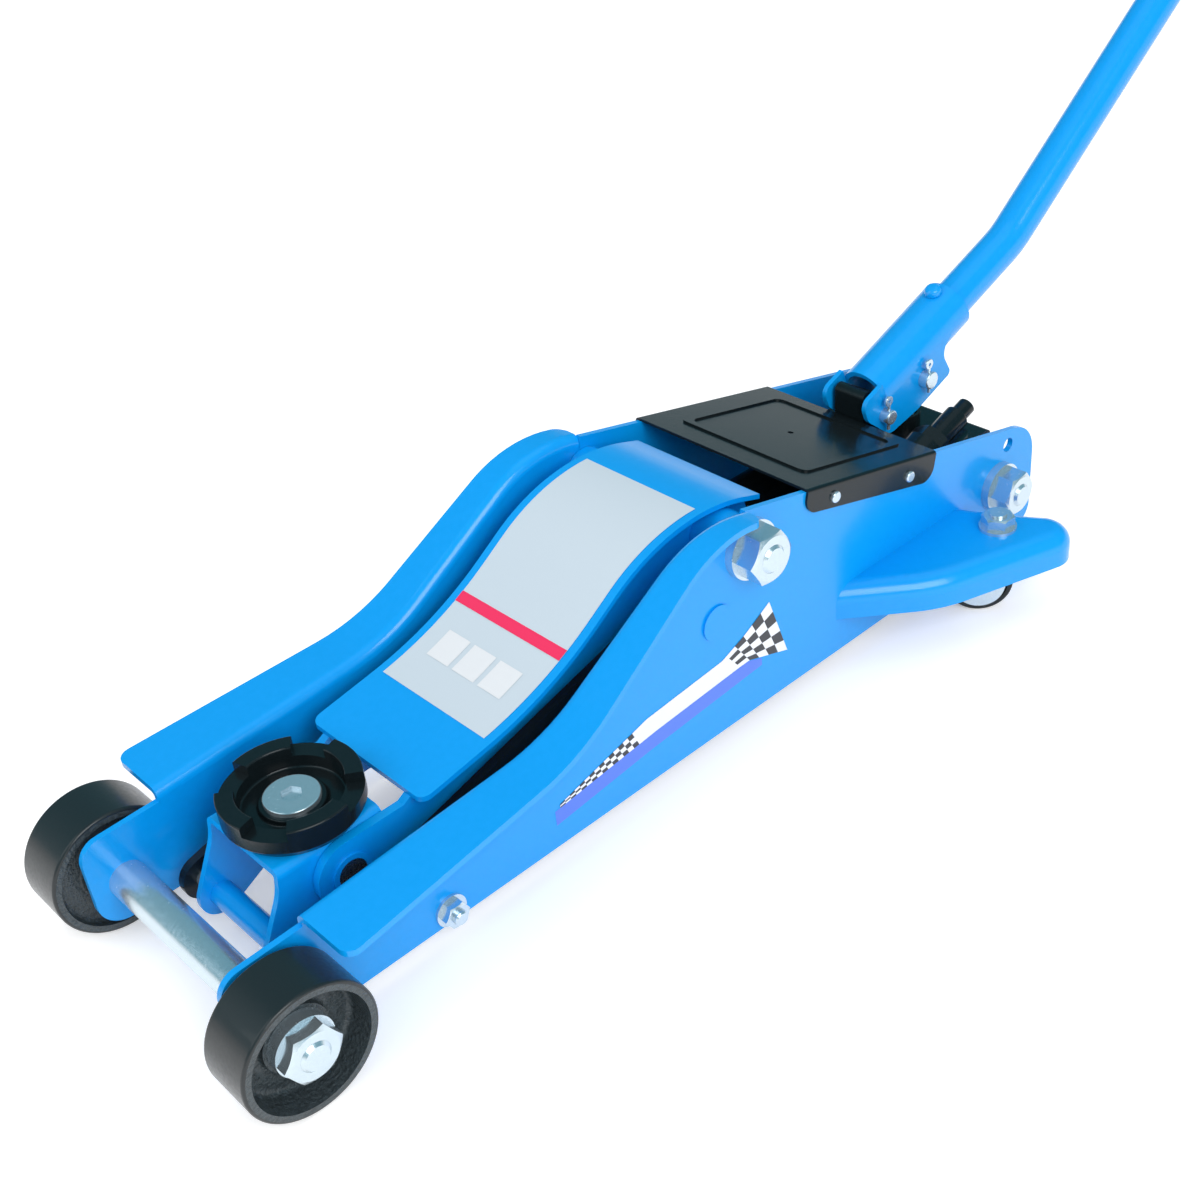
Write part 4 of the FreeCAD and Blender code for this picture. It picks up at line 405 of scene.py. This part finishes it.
class JACK_OT_paint(bpy.types.Operator):
    """Gives the frame, arm and handle their blue and black enamel"""
    bl_idname = "jack.paint"
    bl_label = "Enamel"

    def execute(self, context):
        look = context.scene.jack_finishes
        dress(BLUE_PARTS, finish("blue_enamel", look.blue, rough=0.22, spread=0.05, scale=260,
                                 depth=look.peel, coat=0.15, tint=0.04))
        dress(BLACK_PARTS, finish("black_enamel", look.black, rough=0.22, spread=0.05, scale=300,
                                  depth=look.peel * 2, coat=0.1, tint=0.2, sheen=0.28))
        return {"FINISHED"}


class JACK_OT_metal(bpy.types.Operator):
    """Gives bolts, pins and wheels their plating, ground steel and casting, and rubber its own"""
    bl_idname = "jack.metal"
    bl_label = "Metal"

    def execute(self, context):
        look = context.scene.jack_finishes
        dress(ZINC_PARTS, finish("zinc_plate", look.zinc, rough=0.24, spread=0.08, scale=500,
                                 depth=0.06, metallic=0.8, tint=0.08))
        dress(STEEL_PARTS, finish("ground_steel", look.steel, rough=0.28, spread=0.08, scale=900,
                                  depth=0.08, metallic=1))
        dress(IRON_PARTS, cast_wheel("wheel_iron", IRON_PARTS[0], look.iron))
        dress(TYRE_PARTS, finish("tyre", look.black, rough=0.38, spread=0.06, scale=500,
                                 depth=0.1, tint=0.2))
        dress(RUBBER_PARTS, finish("moulded_rubber", look.rubber, rough=0.62, spread=0.08,
                                   scale=800, depth=0.3, tint=0.2))
        return {"FINISHED"}


# ---- pieces ---------------------------------------------------------------------------------

class JACK_OT_spring(bpy.types.Operator):
    """Winds the plunger's spring as a fixed coil on the chassis; the coil does not shorten with the
    pump's stroke
    """
    bl_idname = "jack.spring"
    bl_label = "Plunger Spring"

    def execute(self, context):
        # A ring as thick as the wire is carried round the spring's axis, and climbs evenly.
        look = context.scene.jack_finishes
        low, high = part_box("plunger_spring")
        middle = (low + high) / 2
        radius = (high.x - low.x) / 2 - look.wire
        turn = np.linspace(0, 2 * np.pi * look.turns, COIL_STEPS)[:, None]
        ring = np.linspace(0, 2 * np.pi, WIRE_SIDES, endpoint=False)[None]
        out = radius + look.wire * np.cos(ring)
        climb = np.linspace(low.z + look.wire, high.z - look.wire, COIL_STEPS)[:, None]
        points = joined(middle.x + out * np.cos(turn), middle.y + out * np.sin(turn),
                        climb + look.wire * np.sin(ring))
        item = grid_mesh("plunger_coil", points, tube=True)
        item.data.materials.append(finish("spring_steel", look.steel, rough=0.3, spread=0.08,
                                          scale=900, depth=0.05, metallic=1))
        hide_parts("plunger_spring")
        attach(item, "chassis")
        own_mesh(item)
        return {"FINISHED"}


def label_patch(name, front, rear, low, high, lift, material):
    """A film on the arm's cover.  x runs from front to rear, y from high to low, so that it faces
    up, and z is the height of the cover's skin there plus the film's lift."""
    marks = bpy.context.scene.jack_markings
    x = behind_axle(np.linspace(front, rear, LABEL_STEPS))
    y = np.linspace(high, low, LABEL_ROWS)
    z = cover_height(x) + marks.proud * lift
    item = grid_mesh(name, joined(x[:, None], y[None], z[:, None]))
    item.data.materials.append(material)
    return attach(item, "lift_arm")


class JACK_OT_label(bpy.types.Operator):
    """Lays a plain label with a stripe and blank panels on the arm's cover"""
    bl_idname = "jack.label"
    bl_label = "Label"

    def execute(self, context):
        marks = context.scene.jack_markings
        half = marks.label_half
        label_patch("arm_label", marks.label_front, marks.label_rear, -half, half, 1,
                    film("label_paper", marks.paper))
        label_patch("label_stripe", marks.stripe_at, marks.stripe_at + marks.stripe_wide,
                    -half, half, 2, film("label_stripe_ink", marks.stripe))
        panel = film("label_panel_ink", marks.panel)
        for place in range(PANEL_COUNT):
            low = half * PANEL_FIRST + place * half * PANEL_STEP
            label_patch("label_panel_%d" % place, marks.label_front + PANEL_FRONT,
                        marks.label_front + PANEL_REAR, low, low + half * PANEL_WIDTH, 2, panel)
        return {"FINISHED"}


def flag_grid(share, across):
    """Points of the side flag as distance behind the axle and height.  The share runs from the
    thin front end to the slanted rear end, and across runs from the lower edge to the upper."""
    marks = bpy.context.scene.jack_markings
    share, across = np.meshgrid(share, across, indexing="ij")
    low = height_at(share, FLAG_LOWER_EDGE)
    high = height_at(share, FLAG_UPPER_EDGE)
    foot = marks.flag_tip + (marks.flag_foot - marks.flag_tip) * share
    top = marks.flag_tip + (marks.flag_top - marks.flag_tip) * share
    return foot + (top - foot) * across, low + (high - low) * across


def band_grid():
    """Points of the band under the flag, from its lower edge to its upper."""
    front, rear = BAND_LOWER_EDGE[0][0], BAND_LOWER_EDGE[-1][0]
    distance, across = np.meshgrid(np.linspace(front, rear, 50), (0, 1), indexing="ij")
    low = height_at(distance, BAND_LOWER_EDGE)
    high = height_at(distance, BAND_UPPER_EDGE)
    return distance, low + (high - low) * across


def flag_piece(name, sign, grid, materials, lift=1):
    """A film on a side plate, its cells taking turns through the materials.  The sign is that of
    y, and turns the columns round on the right, so that both sides' films face outwards."""
    marks = bpy.context.scene.jack_markings
    distance, height = grid
    y = sign * (plate_face() + marks.proud * lift)
    item = grid_mesh(name, joined(behind_axle(distance), y, height)[:, ::sign])
    for material in materials:
        item.data.materials.append(material)
    row, column = np.divmod(np.arange(len(item.data.polygons)), distance.shape[1] - 1)
    item.data.polygons.foreach_set("material_index", (row + column) % len(materials))
    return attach(item, "chassis")


class JACK_OT_flags(bpy.types.Operator):
    """Lays a chequered flag with a plain ribbon and a violet band on both side plates"""
    bl_idname = "jack.flags"
    bl_label = "Side Flags"

    def execute(self, context):
        marks = context.scene.jack_markings
        pale = film("ribbon", marks.ribbon)
        dark = film("flag_ink", marks.ink)
        violet = film("violet", marks.violet)
        front = flag_grid(np.linspace(0, FRONT_SQUARES_END, 16), np.linspace(0, 1, 4))
        middle = flag_grid(np.linspace(FRONT_SQUARES_END, REAR_SQUARES_START, 40), (0, 1))
        rear = flag_grid(np.linspace(REAR_SQUARES_START, 1, 6), np.linspace(0, 1, 6))
        for side, sign in (("left", 1), ("right", -1)):
            flag_piece("flag_front_" + side, sign, front, [dark, pale])
            flag_piece("flag_middle_" + side, sign, middle, [pale])
            flag_piece("flag_rear_" + side, sign, rear, [pale, dark])
            flag_piece("band_" + side, sign, band_grid(), [violet], 0.5)
        return {"FINISHED"}


# ---- stage ----------------------------------------------------------------------------------

def background_rays(tree):
    """1 for the rays that show the background: the camera's own, and those off metal or gloss."""
    rays = add_node(tree, "ShaderNodeLightPath")
    seen = math_node(tree, "MAXIMUM", rays.outputs["Is Camera Ray"], rays.outputs["Is Glossy Ray"])
    return math_node(tree, "MAXIMUM", seen, rays.outputs["Is Transmission Ray"])


def floor_finish(studio):
    """Matt floor paint that looks a little brighter than the light on it makes it."""
    material = finish("floor_paint", studio.floor, rough=0.85, spread=0.03, scale=3, depth=0.0,
                      tint=0.005)
    tree = material.node_tree
    shader = tree.nodes["Principled BSDF"]
    shader.inputs["Emission Color"].default_value = WHITE
    glow = math_node(tree, "MULTIPLY", background_rays(tree), studio.glow)
    tree.links.new(glow, shader.inputs["Emission Strength"])
    return material


def studio_world(studio):
    """Even light from all round.  What is seen of it is white, under a dim ceiling."""
    world = bpy.data.worlds.new("studio")
    world.use_nodes = True
    tree = world.node_tree
    light = tree.nodes["Background"]
    light.inputs["Color"].default_value = SKY_COLOUR
    light.inputs["Strength"].default_value = studio.sky
    seen = add_node(tree, "ShaderNodeBackground")
    heading = add_node(tree, "ShaderNodeTexCoord")
    split = add_node(tree, "ShaderNodeSeparateXYZ")
    rise = add_node(tree, "ShaderNodeMapRange",
                    {"From Min": CEILING_STARTS, "From Max": CEILING_FULL})
    room = add_node(tree, "ShaderNodeMix", {"A": WHITE, "B": studio.ceiling}, data_type="RGBA")
    mix = add_node(tree, "ShaderNodeMixShader")
    join = tree.links.new
    join(heading.outputs["Generated"], split.inputs[0])
    join(split.outputs["Z"], rise.inputs["Value"])
    join(rise.outputs["Result"], room.inputs["Factor"])
    join(room.outputs["Result"], seen.inputs["Color"])
    join(background_rays(tree), mix.inputs[0])
    join(light.outputs[0], mix.inputs[1])
    join(seen.outputs[0], mix.inputs[2])
    join(mix.outputs[0], tree.nodes["World Output"].inputs["Surface"])
    return world


def studio_camera(studio):
    """The camera, which looks in along its azimuth and elevation and is rolled about that line."""
    camera = bpy.data.cameras.new("camera")
    camera.lens = studio.lens
    camera.shift_x, camera.shift_y = studio.slide
    camera.clip_start = 0.01
    level = math.cos(studio.elevation)
    back = Vector((math.cos(studio.azimuth) * level, math.sin(studio.azimuth) * level,
                   math.sin(studio.elevation)))
    right = Vector((0, 0, 1)).cross(back).normalized()
    turn = Matrix.Rotation(studio.roll, 3, back)
    axes = Matrix((turn @ right, turn @ back.cross(right), back)).transposed().to_4x4()
    axes.translation = (AXLE_X + studio.ahead, studio.aside, studio.height)
    item = bpy.data.objects.new("camera", camera)
    item.matrix_world = axes
    return item


class JACK_OT_stage(bpy.types.Operator):
    """Makes the floor, the lights, the world and the camera"""
    bl_idname = "jack.stage"
    bl_label = "Studio"

    def execute(self, context):
        scene = context.scene
        studio = scene.jack_studio
        spread = np.array([-FLOOR_REACH, FLOOR_REACH])
        floor = grid_mesh("floor", joined(spread[:, None], spread[None], -FLOOR_DROP))
        floor.data.materials.append(floor_finish(studio))
        for name, place, size, power in LAMPS:
            lamp = bpy.data.lights.new(name, "AREA")
            lamp.size = size
            lamp.energy = power
            item = bpy.data.objects.new(name, lamp)
            item.location = place
            heading = Vector(LAMP_AIM) - item.location
            item.rotation_euler = heading.to_track_quat("-Z", "Y").to_euler()
            scene.collection.objects.link(item)
        scene.world = studio_world(studio)
        camera = studio_camera(studio)
        scene.collection.objects.link(camera)
        scene.camera = camera
        scene.view_settings.view_transform = "Standard"
        return {"FINISHED"}


# ---- registering and running ----------------------------------------------------------------

class JACK_PT_panel(bpy.types.Panel):
    """Lists the jack's operators in the sidebar"""
    bl_label = "Trolley Jack"
    bl_idname = "JACK_PT_panel"
    bl_space_type = "VIEW_3D"
    bl_region_type = "UI"
    bl_category = "Jack"

    def draw(self, context):
        for operator in OPERATORS:
            self.layout.operator(operator.bl_idname)


SETTINGS = (
    ("jack_finishes", JackFinishes), ("jack_markings", JackMarkings), ("jack_studio", JackStudio),
)
OPERATORS = (
    JACK_OT_stage, JACK_OT_paint, JACK_OT_metal, JACK_OT_spring, JACK_OT_label, JACK_OT_flags,
)


def register():
    for name, group in SETTINGS:
        bpy.utils.register_class(group)
        setattr(bpy.types.Scene, name, bpy.props.PointerProperty(type=group))
    for item in OPERATORS + (JACK_PT_panel,):
        bpy.utils.register_class(item)


def unregister():
    for item in (JACK_PT_panel,) + OPERATORS:
        bpy.utils.unregister_class(item)
    for name, group in SETTINGS:
        delattr(bpy.types.Scene, name)
        bpy.utils.unregister_class(group)


def main():
    register()
    for operator in OPERATORS:
        family, name = operator.bl_idname.split(".")
        if getattr(getattr(bpy.ops, family), name)() != {"FINISHED"}:
            raise RuntimeError("%s did not finish" % operator.bl_idname)


if __name__ == "__main__":
    main()
